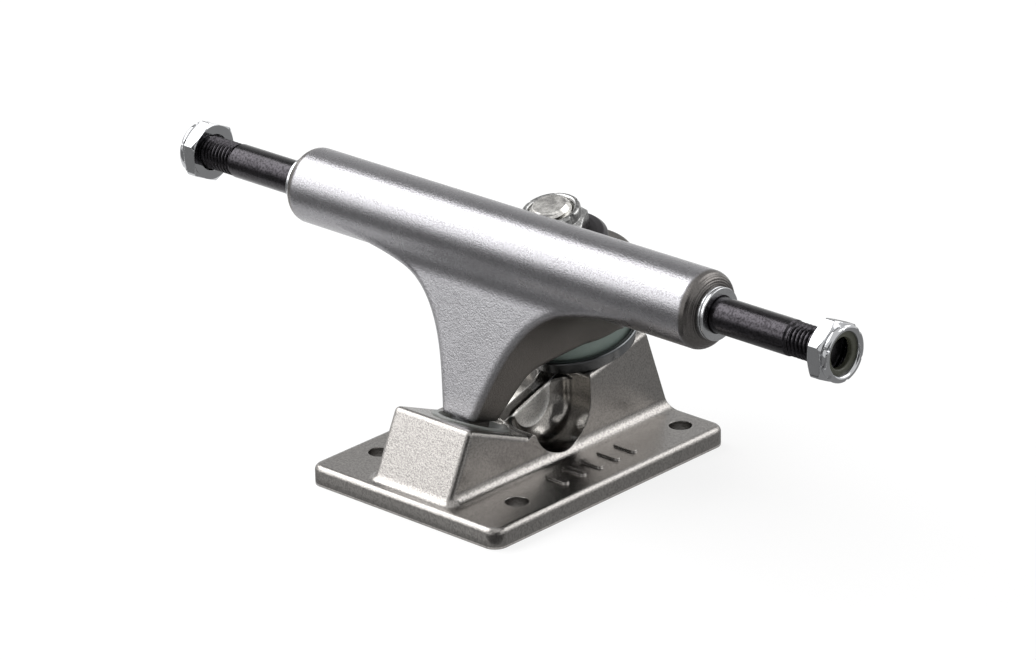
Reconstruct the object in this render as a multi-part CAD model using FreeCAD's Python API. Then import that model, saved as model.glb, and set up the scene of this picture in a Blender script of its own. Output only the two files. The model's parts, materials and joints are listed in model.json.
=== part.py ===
# Skateboard truck: baseplate, kingpin with its bushings, hanger, axle, nuts and washers.
# The origin is the centre of the bolt pattern on the mounting face. +X runs along the axle,
# +Y from the pivot housing towards the kingpin, +Z away from the deck. Lengths are in
# millimetres and angles in degrees.

import FreeCAD, Part
import math
import os

os.makedirs("parts", exist_ok=True)

V = FreeCAD.Vector
X_AXIS = V(1, 0, 0)
Y_AXIS = V(0, 1, 0)
Z_AXIS = V(0, 0, 1)

# Mounting plate
BOLT_SPACING_X = 41.28
BOLT_SPACING_Y = 53.98
BOLT_HOLE_D = 5.3
PLATE_WIDTH = 56.4
PLATE_FRONT_REACH = 41.8
PLATE_REAR_REACH = 34.1
PLATE_THICKNESS = 4.6
PLATE_CORNER_R = 3.2
PLATE_EDGE_R = 1.4

# Raised ribs on both flanges of the plate
RIB_COUNT = 5
RIB_PITCH = 5.6
RIB_WIDTH = 1.6
RIB_LENGTH = 6.4
RIB_HEIGHT = 0.5
RIB_INSET = 8.4
RIB_SHIFT = 2.0

# Block of the casting: pivot housing, web and kingpin boss seen from the side
BLOCK_WIDTH = 23.0
BLOCK_FOOT_R = 2.6
BLOCK_EDGE_R = 1.3
HOUSING_FOOT_SETBACK = 3.0
HOUSING_FRONT_LEAN = 26.0
HOUSING_FRONT_HEIGHT = 20.0
HOUSING_TOP_FALL = 22.0
HOUSING_TOP_LENGTH = 20.6
WEB_REAR_DROP = 1.67
BOSS_FRONT_REACH = 9.2
BOSS_REAR_REACH = 9.9
BOSS_REAR_SETBACK = 0.9
BOWL_WEB_T = 3.8
BOWL_CORNER_R = 5.0
BOWL_FLOOR = 1.0
BOWL_COVER = 1.05
BOWL_BITE = 0.03
RIDGE_R = 1.0

# Kingpin line, which leans towards the pivot, through the middle of the bushing seat
KINGPIN_LEAN = 14.0
SEAT_Y = 16.3
SEAT_HEIGHT = 22.9
KINGPIN_D = 9.53
KINGPIN_POCKET_DEPTH = 7.9
KINGPIN_HEAD_FLATS = 14.29
KINGPIN_HEAD_HEIGHT = 5.0
KINGPIN_END_STANDOUT = 1.0
KINGPIN_END_CHAMFER = 1.0

# Bushings, cupped washers and nut on the kingpin
BOTTOM_WASHER_D = 29.0
BOTTOM_WASHER_HEIGHT = 3.7
BOTTOM_WASHER_T = 1.5
BOTTOM_WASHER_WALL = 1.4
BOTTOM_WASHER_TAPER = 0.5
BOTTOM_BUSHING_D = 25.0
BOTTOM_BUSHING_LENGTH = 11.8
BOTTOM_BUSHING_SWELL = 0.25
BOTTOM_BUSHING_EDGE = 1.2
TOP_BUSHING_D = 23.6
TOP_BUSHING_SMALL_D = 18.6
TOP_BUSHING_LENGTH = 8.5
TOP_BUSHING_EDGE = 0.8
TOP_WASHER_D = 22.9
TOP_WASHER_T = 1.5
TOP_WASHER_HEIGHT = 2.3
TOP_WASHER_WALL = 1.3
TOP_WASHER_EDGE = 0.7
KINGPIN_NUT_FLATS = 14.29
KINGPIN_NUT_HEIGHT = 7.2
KINGPIN_NUT_COLLAR_D = 13.4
KINGPIN_NUT_COLLAR_HEIGHT = 2.6
KINGPIN_INSERT_D = 11.2
KINGPIN_INSERT_LENGTH = 1.8

# Axle and its nuts
AXLE_Y = -7.07
AXLE_HEIGHT = 53.0
AXLE_D = 7.94
AXLE_GRIP_D = 8.3
AXLE_THREAD_D = 7.6
AXLE_THREAD_LEAD = 8.8
AXLE_GROOVE = 0.8
AXLE_GROOVE_DEPTH = 0.3
AXLE_NUT_HOLD = 1.8
AXLE_END_CHAMFER = 0.9
AXLE_NUT_SEAT = 90.8
AXLE_NUT_FLATS = 12.7
AXLE_NUT_HEIGHT = 5.2
AXLE_NUT_TURN = 6.0
AXLE_NUT_COLLAR_D = 12.7
AXLE_NUT_COLLAR_HEIGHT = 1.6
AXLE_INSERT_D = 10.2
AXLE_INSERT_BORE_D = 6.9
AXLE_INSERT_LENGTH = 1.8
NUT_LIP_T = 0.5
NUT_LIP_REACH = 0.35
NUT_GROOVE = 0.35
NUT_CHAMFER_ANGLE = 30.0
WASHER_D = 11.7
WASHER_T = 0.95
WASHER_EDGE = 0.2

# Hanger casting
BAR_D = 17.44
BAR_LENGTH = 120.0
BAR_END_ROUND = 2.8
BAR_END_FACE_D = 12.4
ARCH_SPAN = 88.0
ARCH_RISE = 6.5
STEM_STANDOFF = 5.6
STEM_WIDTH = 9.6
STEM_DEPTH = 9.5
STEM_EDGE_R = 1.5
STEM_REAR_EDGE_R = 2.0
WEB_BLEND_R = 8.5
WEB_LEAN = 17.2
WEB_FACE_OFFSET = 5.6
ARCH_WIDTH_SHARES = (1.0, 0.78, 0.614, 0.464, 0.305, 0.189)
ARCH_DROP_SHARES = (0.0, 0.045, 0.09, 0.16, 0.355, 0.66)
GUSSET_RUN = 7.58
GUSSET_LIFT = 0.25
GUSSET_BEND_R = 5.0
GUSSET_FLARE = 7.5
GUSSET_SHOULDER_REACH = 10.5
RING_BOTTOM_WALL = 2.45
RING_TOP_WALL = 4.2
RING_WEB_T = 5.0
RING_EDGE_R = 0.9
TOP_SEAT_DEPTH = 2.2
BOTTOM_SEAT_DEPTH = 4.9
RING_BORE_D = 14.4
POCKET_MARGIN = 4.05
POCKET_CORNER_R = 4.0

# Ball-ended nose and its liner
BALL_D = 11.6
BALL_DEPTH = 4.3
NECK_D = 8.8
CUP_D = 16.2
CUP_LIP_D = 17.6
CUP_LIP_T = 0.4
CUP_FLOOR = 1.3
CUP_EDGE = 0.6
CUP_MOUTH_FLARE = 1.5

# Clearances
RUN_CLEARANCE = 0.05
GRIP_CLEARANCE = 0.02
SEAT_CLEARANCE = 0.3
POCKET_CLEARANCE = 0.8
OVERRUN = 2.0

KINGPIN_R = KINGPIN_D / 2
AXLE_R = AXLE_D / 2
BAR_R = BAR_D / 2
BOTTOM_SEAT_R = BOTTOM_BUSHING_D / 2 + BOTTOM_BUSHING_SWELL + SEAT_CLEARANCE
TOP_SEAT_R = TOP_BUSHING_D / 2 + SEAT_CLEARANCE
RING_BOTTOM_D = 2 * (BOTTOM_SEAT_R + RING_BOTTOM_WALL)
RING_TOP_D = 2 * (TOP_SEAT_R + RING_TOP_WALL)
POCKET_WIDTH = TOP_WASHER_D + 2 * POCKET_MARGIN
BALL_R = BALL_D / 2
BLOCK_HALF = BLOCK_WIDTH / 2
BAR_HALF = BAR_LENGTH / 2

# Stations along the axle, tied to the seat of its nuts
AXLE_SHOULDER = AXLE_NUT_SEAT - AXLE_THREAD_LEAD
AXLE_END = AXLE_NUT_SEAT + AXLE_NUT_HOLD

# Heights of the kingpin stack above the bushing seat, along the kingpin
BOTTOM_BUSHING_BASE = BOTTOM_WASHER_T
RING_WEB_BASE = BOTTOM_BUSHING_BASE + BOTTOM_BUSHING_LENGTH
RING_WEB_TOP = RING_WEB_BASE + RING_WEB_T
RING_BASE = RING_WEB_BASE - BOTTOM_SEAT_DEPTH
RING_TOP = RING_WEB_TOP + TOP_SEAT_DEPTH
TOP_WASHER_BASE = RING_WEB_TOP + TOP_BUSHING_LENGTH
KINGPIN_NUT_BASE = TOP_WASHER_BASE + TOP_WASHER_T
KINGPIN_NUT_TOP = KINGPIN_NUT_BASE + KINGPIN_NUT_HEIGHT
KINGPIN_END = KINGPIN_NUT_TOP + KINGPIN_END_STANDOUT
KINGPIN_HEAD_TOP = KINGPIN_POCKET_DEPTH - SEAT_HEIGHT / math.cos(math.radians(KINGPIN_LEAN))

# Local frames. On the kingpin, Z is the bolt's own line and 0 is the bushing seat. On the web,
# Z climbs along its front face and 0 is the axle. On the cup, Z leaves the housing squarely.
KINGPIN_FRAME = FreeCAD.Placement(V(0, SEAT_Y, SEAT_HEIGHT), FreeCAD.Rotation(X_AXIS, KINGPIN_LEAN))
WEB_FRAME = FreeCAD.Placement(V(0, AXLE_Y, AXLE_HEIGHT), FreeCAD.Rotation(X_AXIS, -WEB_LEAN))
AXLE_FRAME = FreeCAD.Placement(V(0, AXLE_Y, AXLE_HEIGHT), FreeCAD.Rotation(Y_AXIS, 90))

HOUSING_FOOT_Y = HOUSING_FOOT_SETBACK - PLATE_FRONT_REACH
HOUSING_FRONT_RUN = (HOUSING_FRONT_HEIGHT - PLATE_THICKNESS) * math.tan(math.radians(HOUSING_FRONT_LEAN))
HOUSING_TOP_Y = HOUSING_FOOT_Y + HOUSING_FRONT_RUN
SADDLE_Y = HOUSING_TOP_Y + HOUSING_TOP_LENGTH * math.cos(math.radians(HOUSING_TOP_FALL))
BOSS_FRONT_Y = SEAT_Y - BOSS_FRONT_REACH * math.cos(math.radians(KINGPIN_LEAN))
BOSS_FRONT_HEIGHT = SEAT_HEIGHT - BOSS_FRONT_REACH * math.sin(math.radians(KINGPIN_LEAN))
WEB_REAR_HEIGHT = BOSS_FRONT_HEIGHT - WEB_REAR_DROP
REAR_FOOT_Y = PLATE_REAR_REACH - BOSS_REAR_SETBACK
STEM_CENTRE = STEM_DEPTH / 2 - WEB_FACE_OFFSET


def housing_top_height(y):
    """Height of the housing's sloping top at the place y."""
    return HOUSING_FRONT_HEIGHT - (y - HOUSING_TOP_Y) * math.tan(math.radians(HOUSING_TOP_FALL))


SADDLE_HEIGHT = housing_top_height(SADDLE_Y)
WEB_RISE = (WEB_REAR_HEIGHT - SADDLE_HEIGHT) / (BOSS_FRONT_Y - SADDLE_Y)
BOWL_REAR_Y = BOSS_FRONT_Y + BOWL_BITE
WEB_HEIGHT_BY_BOSS = SADDLE_HEIGHT + (BOWL_REAR_Y - SADDLE_Y) * WEB_RISE
BOWL_R = (WEB_HEIGHT_BY_BOSS - BOWL_COVER - BOWL_FLOOR - PLATE_THICKNESS) / (1 + WEB_RISE)
BOWL_Y = BOWL_REAR_Y - BOWL_R
BOWL_HEIGHT = PLATE_THICKNESS + BOWL_FLOOR + BOWL_R


def ball_distance():
    """Distance from the axle down the stem's centre line to BALL_DEPTH under the housing's top."""
    lean = math.radians(WEB_LEAN)
    fall = math.radians(HOUSING_TOP_FALL)
    start = WEB_FRAME.multVec(V(0, STEM_CENTRE, 0))
    over_top = start.z - housing_top_height(start.y)
    drop = math.cos(lean) + math.sin(lean) * math.tan(fall)
    return (over_top + BALL_DEPTH / math.cos(fall)) / drop


BALL_DISTANCE = ball_distance()
BALL_CENTRE = WEB_FRAME.multVec(V(0, STEM_CENTRE, -BALL_DISTANCE))
STEM_LENGTH = BALL_DISTANCE - STEM_STANDOFF
CUP_FRAME = FreeCAD.Placement(BALL_CENTRE, FreeCAD.Rotation(X_AXIS, -HOUSING_TOP_FALL))


def placed(shape, frame):
    """A copy of the shape moved from its local frame into the part's frame."""
    moved = shape.copy()
    moved.Placement = frame.multiply(shape.Placement)
    return moved


def revolved(points):
    """A closed solid of revolution about local Z from (radius, height) points."""
    corners = [V(radius, 0, height) for radius, height in points]
    face = Part.Face(Part.makePolygon(corners + corners[:1]))
    return face.revolve(V(0, 0, 0), Z_AXIS, 360)


def tube(outer_d, bore_d, base, height):
    """A plain ring along local Z."""
    outer = Part.makeCylinder(outer_d / 2, height, V(0, 0, base))
    bore = Part.makeCylinder(bore_d / 2, height + 2 * OVERRUN, V(0, 0, base - OVERRUN))
    return outer.cut(bore)


def hexagon(flats, base, height, turn=0):
    """A six-sided prism along local Z, turned about it."""
    radius = flats / 2 / math.cos(math.radians(30))
    corners = []
    for side in range(6):
        angle = math.radians(turn + 60 * side)
        corners.append(V(radius * math.cos(angle), radius * math.sin(angle), base))
    return Part.Face(Part.makePolygon(corners + corners[:1])).extrude(V(0, 0, height))


def side_prism(points, half_width):
    """A prism across X from points (y, z) of the side view."""
    corners = [V(-half_width, y, z) for y, z in points]
    return Part.Face(Part.makePolygon(corners + corners[:1])).extrude(V(2 * half_width, 0, 0))


def edges_where(shape, test):
    """The edges whose middle point passes the test."""
    chosen = []
    for edge in shape.Edges:
        middle = edge.valueAt((edge.FirstParameter + edge.LastParameter) / 2)
        if test(edge, middle):
            chosen.append(edge)
    return chosen


def near(value, target):
    """Whether two lengths agree within a small part of the plate's thickness."""
    return abs(value - target) < PLATE_THICKNESS / 1000


# Baseplate

def mounting_plate():
    """The flat plate with rounded corners, rounded upper edges and four holes."""
    length = PLATE_FRONT_REACH + PLATE_REAR_REACH
    corner = V(-PLATE_WIDTH / 2, -PLATE_FRONT_REACH, 0)
    plate = Part.makeBox(PLATE_WIDTH, length, PLATE_THICKNESS, corner)
    uprights = edges_where(plate, lambda edge, middle: near(middle.z, PLATE_THICKNESS / 2))
    plate = plate.makeFillet(PLATE_CORNER_R, uprights)
    upper = edges_where(plate, lambda edge, middle: near(middle.z, PLATE_THICKNESS))
    return plate.makeFillet(PLATE_EDGE_R, upper)


def block_profile():
    """Side view of the housing, the web and the boss, from the front foot round to the rear."""
    boss_rear = KINGPIN_FRAME.multVec(V(0, BOSS_REAR_REACH, 0))
    foot_drop = PLATE_THICKNESS / 2
    front_drop = foot_drop * math.tan(math.radians(HOUSING_FRONT_LEAN))
    return [
        (HOUSING_FOOT_Y - front_drop, foot_drop),
        (HOUSING_TOP_Y, HOUSING_FRONT_HEIGHT),
        (SADDLE_Y, SADDLE_HEIGHT),
        (BOSS_FRONT_Y, WEB_REAR_HEIGHT),
        (BOSS_FRONT_Y, BOSS_FRONT_HEIGHT),
        (boss_rear.y, boss_rear.z),
        (REAR_FOOT_Y, PLATE_THICKNESS),
        (REAR_FOOT_Y, foot_drop),
    ]


def bowls():
    """Round-bottomed hollows that open the block from each side and leave a flat web between."""
    top = SEAT_HEIGHT + OVERRUN
    front, rear = BOWL_Y - BOWL_R, BOWL_Y + BOWL_R
    depth = BLOCK_HALF + BLOCK_FOOT_R - BOWL_WEB_T / 2
    tool = None
    for side in (-1, 1):
        x = side * BOWL_WEB_T / 2
        rim = [V(x, rear, BOWL_HEIGHT), V(x, rear, top), V(x, front, top), V(x, front, BOWL_HEIGHT)]
        floor = Part.Arc(rim[3], V(x, BOWL_Y, BOWL_HEIGHT - BOWL_R), rim[0]).toShape()
        wire = Part.Wire([floor] + list(Part.makePolygon(rim).Edges))
        hollow = Part.Face(wire).extrude(V(side * depth, 0, 0))
        inner = edges_where(hollow, lambda edge, middle: near(middle.x, x) and middle.z < top - OVERRUN / 2)
        hollow = hollow.makeFillet(BOWL_CORNER_R, inner)
        tool = hollow if tool is None else tool.fuse(hollow)
    return tool


def ribs():
    """Short raised bars across both flanges."""
    bars = []
    middle = (PLATE_REAR_REACH - PLATE_FRONT_REACH) / 2 + RIB_SHIFT
    for side in (-1, 1):
        for step in range(RIB_COUNT):
            x = side * (PLATE_WIDTH / 2 - RIB_INSET)
            y = middle + (step - (RIB_COUNT - 1) / 2) * RIB_PITCH
            straight = RIB_LENGTH - RIB_WIDTH
            height = RIB_HEIGHT + PLATE_THICKNESS / 2
            base = V(x - straight / 2, y - RIB_WIDTH / 2, PLATE_THICKNESS / 2)
            bar = Part.makeBox(straight, RIB_WIDTH, height, base)
            for end in (-1, 1):
                place = V(x + end * straight / 2, y, PLATE_THICKNESS / 2)
                bar = bar.fuse(Part.makeCylinder(RIB_WIDTH / 2, height, place))
            bars.append(bar.removeSplitter())
    return bars


def rounded_block():
    """The block with its outer edges rounded; those that the bowls take away stay sharp."""
    block = side_prism(block_profile(), BLOCK_HALF)
    outer = edges_where(block, lambda edge, middle: middle.z > PLATE_THICKNESS
                        and middle.y < SEAT_Y + BOSS_REAR_REACH
                        and not near(middle.y, SADDLE_Y)
                        and not any(near(corner.Y, BOSS_FRONT_Y) and near(corner.Z, WEB_REAR_HEIGHT)
                                    for corner in edge.Vertexes))
    return block.makeFillet(BLOCK_EDGE_R, outer)


def block_with_foot():
    """The block with the hollow rounding that carries its sides and front into the plate."""
    half_plate = PLATE_THICKNESS / 2
    slab = Part.makeBox(PLATE_WIDTH, PLATE_FRONT_REACH + REAR_FOOT_Y + OVERRUN, half_plate,
                        V(-PLATE_WIDTH / 2, -PLATE_FRONT_REACH - OVERRUN, half_plate))
    block = rounded_block().fuse(slab).removeSplitter()
    foot = edges_where(block, lambda edge, middle: near(middle.z, PLATE_THICKNESS)
                       and abs(middle.x) < BLOCK_HALF + PLATE_EDGE_R
                       and HOUSING_FOOT_Y - PLATE_EDGE_R < middle.y < REAR_FOOT_Y - PLATE_EDGE_R / 10)
    block = block.makeFillet(BLOCK_FOOT_R, foot)
    reach = BLOCK_HALF + BLOCK_FOOT_R
    front = HOUSING_FOOT_Y - BLOCK_FOOT_R * math.tan(math.radians((90 - HOUSING_FRONT_LEAN) / 2))
    keep = Part.makeBox(2 * reach, REAR_FOOT_Y - front, 2 * SEAT_HEIGHT, V(-reach, front, half_plate))
    return block.common(keep)


def scooped_block():
    """The block with both bowls and the rounded edges of the web between them."""
    block = block_with_foot().cut(bowls())
    ridge = edges_where(block, lambda edge, middle: edge.Length > BLOCK_FOOT_R
                        and abs(middle.x) < BLOCK_HALF - RIDGE_R
                        and SADDLE_Y + RIDGE_R < middle.y < BOSS_FRONT_Y
                        and near(middle.z, SADDLE_HEIGHT + (middle.y - SADDLE_Y) * WEB_RISE))
    return block.makeFillet(RIDGE_R, ridge)


def baseplate():
    """The whole casting with its bolt holes, cup socket and kingpin pocket."""
    body = mounting_plate().fuse(scooped_block()).removeSplitter()
    body = body.fuse(ribs())
    for x in (-BOLT_SPACING_X / 2, BOLT_SPACING_X / 2):
        for y in (-BOLT_SPACING_Y / 2, BOLT_SPACING_Y / 2):
            height = PLATE_THICKNESS + 2 * OVERRUN
            body = body.cut(Part.makeCylinder(BOLT_HOLE_D / 2, height, V(x, y, -OVERRUN)))
    socket_floor = -(BALL_R + RUN_CLEARANCE + CUP_FLOOR)
    socket = Part.makeCylinder(CUP_D / 2 + GRIP_CLEARANCE, BALL_DEPTH - socket_floor + OVERRUN,
                               V(0, 0, socket_floor))
    lip_seat = Part.makeCylinder(CUP_LIP_D / 2 + SEAT_CLEARANCE, SEAT_HEIGHT, V(0, 0, BALL_DEPTH))
    body = body.cut(placed(socket, CUP_FRAME)).cut(placed(lip_seat, CUP_FRAME))
    length = SEAT_HEIGHT * 2
    shank = Part.makeCylinder(KINGPIN_R + RUN_CLEARANCE, length, V(0, 0, -length / 2 - SEAT_HEIGHT / 2))
    pocket_depth = SEAT_HEIGHT
    pocket = hexagon(KINGPIN_HEAD_FLATS + 2 * RUN_CLEARANCE, KINGPIN_HEAD_TOP - pocket_depth, pocket_depth)
    body = body.cut(placed(shank, KINGPIN_FRAME)).cut(placed(pocket, KINGPIN_FRAME))
    return body.removeSplitter()


def pivot_cup():
    """The soft liner: a round-bottomed cup with a lip that rests on the housing."""
    floor = -(BALL_R + RUN_CLEARANCE + CUP_FLOOR)
    outer = revolved([
        (0, floor), (CUP_D / 2 - CUP_EDGE, floor), (CUP_D / 2, floor + CUP_EDGE), (CUP_D / 2, BALL_DEPTH),
        (CUP_LIP_D / 2, BALL_DEPTH), (CUP_LIP_D / 2, BALL_DEPTH + CUP_LIP_T), (0, BALL_DEPTH + CUP_LIP_T)])
    cavity = Part.makeSphere(BALL_R + RUN_CLEARANCE)
    mouth = Part.makeCylinder(BALL_R + RUN_CLEARANCE, BALL_DEPTH + CUP_LIP_T + OVERRUN)
    top = BALL_DEPTH + CUP_LIP_T
    flare = Part.makeCone(BALL_R, BALL_R + CUP_MOUTH_FLARE + OVERRUN, CUP_MOUTH_FLARE + OVERRUN,
                          V(0, 0, top - CUP_MOUTH_FLARE))
    return placed(outer.cut(cavity.fuse(mouth).fuse(flare)), CUP_FRAME)


# Kingpin and what it holds

def kingpin():
    """The bolt with its hexagon head in the baseplate's pocket."""
    inside_head = KINGPIN_HEAD_TOP - KINGPIN_HEAD_HEIGHT / 2
    shank = revolved([
        (0, inside_head), (KINGPIN_R, inside_head), (KINGPIN_R, KINGPIN_END - KINGPIN_END_CHAMFER),
        (KINGPIN_R - KINGPIN_END_CHAMFER, KINGPIN_END), (0, KINGPIN_END)])
    head = hexagon(KINGPIN_HEAD_FLATS, KINGPIN_HEAD_TOP - KINGPIN_HEAD_HEIGHT, KINGPIN_HEAD_HEIGHT)
    return placed(shank.fuse(head), KINGPIN_FRAME)


def bottom_washer():
    """The cupped washer that the barrel bushing stands in."""
    rim = BOTTOM_WASHER_D / 2
    base = rim - BOTTOM_WASHER_TAPER
    inner = rim - BOTTOM_WASHER_WALL
    bore = KINGPIN_R + RUN_CLEARANCE
    return placed(revolved([
        (bore, 0), (base, 0), (rim, BOTTOM_WASHER_HEIGHT), (inner, BOTTOM_WASHER_HEIGHT),
        (inner - BOTTOM_WASHER_TAPER, BOTTOM_WASHER_T), (bore, BOTTOM_WASHER_T)]), KINGPIN_FRAME)


def bottom_bushing():
    """The barrel bushing between the boss and the hanger's ring."""
    radius = BOTTOM_BUSHING_D / 2
    low = BOTTOM_BUSHING_BASE
    high = low + BOTTOM_BUSHING_LENGTH
    bore = KINGPIN_R + RUN_CLEARANCE
    return placed(revolved([
        (bore, low), (radius - BOTTOM_BUSHING_EDGE, low), (radius, low + BOTTOM_BUSHING_EDGE),
        (radius + BOTTOM_BUSHING_SWELL, (low + high) / 2), (radius, high - BOTTOM_BUSHING_EDGE),
        (radius - BOTTOM_BUSHING_EDGE, high), (bore, high)]), KINGPIN_FRAME)


def top_bushing():
    """The cone bushing between the ring and the top washer."""
    wide = TOP_BUSHING_D / 2
    narrow = TOP_BUSHING_SMALL_D / 2
    low = RING_WEB_TOP
    high = low + TOP_BUSHING_LENGTH
    bore = KINGPIN_R + RUN_CLEARANCE
    return placed(revolved([
        (bore, low), (wide - TOP_BUSHING_EDGE, low), (wide, low + TOP_BUSHING_EDGE),
        (wide, low + TOP_SEAT_DEPTH), (narrow, high - TOP_BUSHING_EDGE),
        (narrow - TOP_BUSHING_EDGE, high), (bore, high)]), KINGPIN_FRAME)


def top_washer():
    """The cupped washer under the kingpin nut, its rim turned down round the bushing."""
    rim = TOP_WASHER_D / 2
    inner = rim - TOP_WASHER_WALL
    high = TOP_WASHER_BASE + TOP_WASHER_T
    low = high - TOP_WASHER_HEIGHT
    bore = KINGPIN_R + RUN_CLEARANCE
    return placed(revolved([
        (bore, TOP_WASHER_BASE), (inner, TOP_WASHER_BASE), (inner, low), (rim, low),
        (rim, high - 2 * TOP_WASHER_EDGE), (rim - TOP_WASHER_EDGE, high - TOP_WASHER_EDGE / 2),
        (rim - 3 * TOP_WASHER_EDGE, high), (bore, high)]), KINGPIN_FRAME)


def locking_nut(flats, height, collar_d, collar_height, bore_d, insert_d, insert_length, turn):
    """A hexagon nut with a crimped collar, its seat at local Z 0, and the room for its insert."""
    corner_r = flats / 2 / math.cos(math.radians(30))
    hexagon_height = height - collar_height
    slope = math.tan(math.radians(NUT_CHAMFER_ANGLE))
    chamfer = (corner_r - flats / 2) * slope
    collar_r = collar_d / 2
    prism = hexagon(flats, 0, hexagon_height, turn)
    outer_chamfer = (corner_r - collar_r + NUT_GROOVE) * slope
    hull = revolved([
        (0, 0), (flats / 2, 0), (corner_r, chamfer), (corner_r, hexagon_height - outer_chamfer),
        (collar_r - NUT_GROOVE, hexagon_height), (0, hexagon_height)])
    collar = revolved([
        (0, hexagon_height - NUT_GROOVE), (collar_r - NUT_GROOVE, hexagon_height - NUT_GROOVE),
        (collar_r - NUT_GROOVE, hexagon_height), (collar_r, hexagon_height + NUT_GROOVE),
        (collar_r, height - 2 * NUT_LIP_T), (collar_r - NUT_LIP_T, height - NUT_LIP_T / 2),
        (collar_r - 2 * NUT_LIP_T, height), (0, height)])
    solid = prism.common(hull).fuse(collar)
    bore = Part.makeCylinder(bore_d / 2 + RUN_CLEARANCE, height + 2 * OVERRUN, V(0, 0, -OVERRUN))
    lip_base = height - NUT_LIP_T
    room = Part.makeCylinder(insert_d / 2 + GRIP_CLEARANCE, insert_length, V(0, 0, lip_base - insert_length))
    mouth = Part.makeCylinder(insert_d / 2 - NUT_LIP_REACH, NUT_LIP_T + OVERRUN, V(0, 0, lip_base))
    return solid.cut(bore).cut(room).cut(mouth).removeSplitter()


def kingpin_nut():
    """The nut that sets how tightly the bushings are squeezed."""
    nut = locking_nut(KINGPIN_NUT_FLATS, KINGPIN_NUT_HEIGHT, KINGPIN_NUT_COLLAR_D, KINGPIN_NUT_COLLAR_HEIGHT,
                      KINGPIN_D, KINGPIN_INSERT_D, KINGPIN_INSERT_LENGTH, 0)
    nut.translate(V(0, 0, KINGPIN_NUT_BASE))
    return placed(nut, KINGPIN_FRAME)


def kingpin_nut_insert():
    """The nylon ring crimped into the kingpin nut."""
    base = KINGPIN_NUT_TOP - NUT_LIP_T - KINGPIN_INSERT_LENGTH
    bore_d = KINGPIN_D + 2 * RUN_CLEARANCE
    return placed(tube(KINGPIN_INSERT_D, bore_d, base, KINGPIN_INSERT_LENGTH), KINGPIN_FRAME)


# Hanger

def arch_prism():
    """The web's front outline, with both arches, carried squarely through the casting."""
    half_span = ARCH_SPAN / 2
    front = -WEB_FACE_OFFSET - BAR_R
    drop = STEM_LENGTH - ARCH_RISE
    points = []
    for width_share, drop_share in zip(ARCH_WIDTH_SHARES, ARCH_DROP_SHARES):
        points.append(V(half_span * width_share, front, -(ARCH_RISE + drop * drop_share)))
    points.append(V(STEM_WIDTH / 2, front, -STEM_LENGTH))
    right = Part.BSplineCurve()
    right.interpolate(points)
    mirrored = [V(-point.x, point.y, point.z) for point in reversed(points)]
    left = Part.BSplineCurve()
    left.interpolate(mirrored)
    upper_right = V(half_span, front, 0)
    upper_left = V(-half_span, front, 0)
    wire = Part.Wire([
        Part.makeLine(upper_left, upper_right), Part.makeLine(upper_right, points[0]), right.toShape(),
        Part.makeLine(points[-1], mirrored[0]), left.toShape(), Part.makeLine(mirrored[-1], upper_left)])
    return placed(Part.Face(wire).extrude(V(0, RING_TOP_D + 2 * BAR_D + STEM_DEPTH, 0)), WEB_FRAME)


def web_blend():
    """Side view of the hollow between crossbar and web: both tangent points and the middle."""
    centre_y = -WEB_FACE_OFFSET - WEB_BLEND_R
    centre_z = -math.sqrt((BAR_R + WEB_BLEND_R) ** 2 - centre_y ** 2)
    centre = V(0, centre_y, centre_z)
    on_bar = centre * (BAR_R / (BAR_R + WEB_BLEND_R))
    on_web = centre + V(0, WEB_BLEND_R, 0)
    middle = centre + ((on_bar - centre) + (on_web - centre)).normalize() * WEB_BLEND_R
    return on_bar, middle, on_web


def hanger_side_prism():
    """Side view of the stem, the gusset behind it and the ring's front half."""
    on_bar, middle, on_web = [WEB_FRAME.multVec(spot) for spot in web_blend()]
    bend = KINGPIN_FRAME.multVec(V(0, -RING_BOTTOM_D / 2 - GUSSET_RUN, RING_BASE + GUSSET_LIFT))
    spots = [
        on_web,
        WEB_FRAME.multVec(V(0, -WEB_FACE_OFFSET, -STEM_LENGTH)),
        WEB_FRAME.multVec(V(0, STEM_DEPTH - WEB_FACE_OFFSET, -STEM_LENGTH)),
        bend,
        KINGPIN_FRAME.multVec(V(0, -RING_BOTTOM_D / 2, RING_BASE)),
        KINGPIN_FRAME.multVec(V(0, 0, RING_BASE)),
        KINGPIN_FRAME.multVec(V(0, 0, RING_TOP)),
        KINGPIN_FRAME.multVec(V(0, -TOP_WASHER_D / 2, RING_TOP)),
        WEB_FRAME.multVec(V(0, 0, 0)),
        on_bar,
    ]
    edges = [Part.makeLine(start, end) for start, end in zip(spots, spots[1:])]
    edges.append(Part.Arc(on_bar, middle, on_web).toShape())
    face = Part.Face(Part.Wire(edges))
    prism = face.extrude(V(ARCH_SPAN, 0, 0))
    prism.translate(V(-ARCH_SPAN / 2, 0, 0))
    bend_edge = edges_where(prism, lambda edge, spot: near(spot.y, bend.y) and near(spot.z, bend.z))
    return prism.makeFillet(GUSSET_BEND_R, bend_edge)


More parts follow.
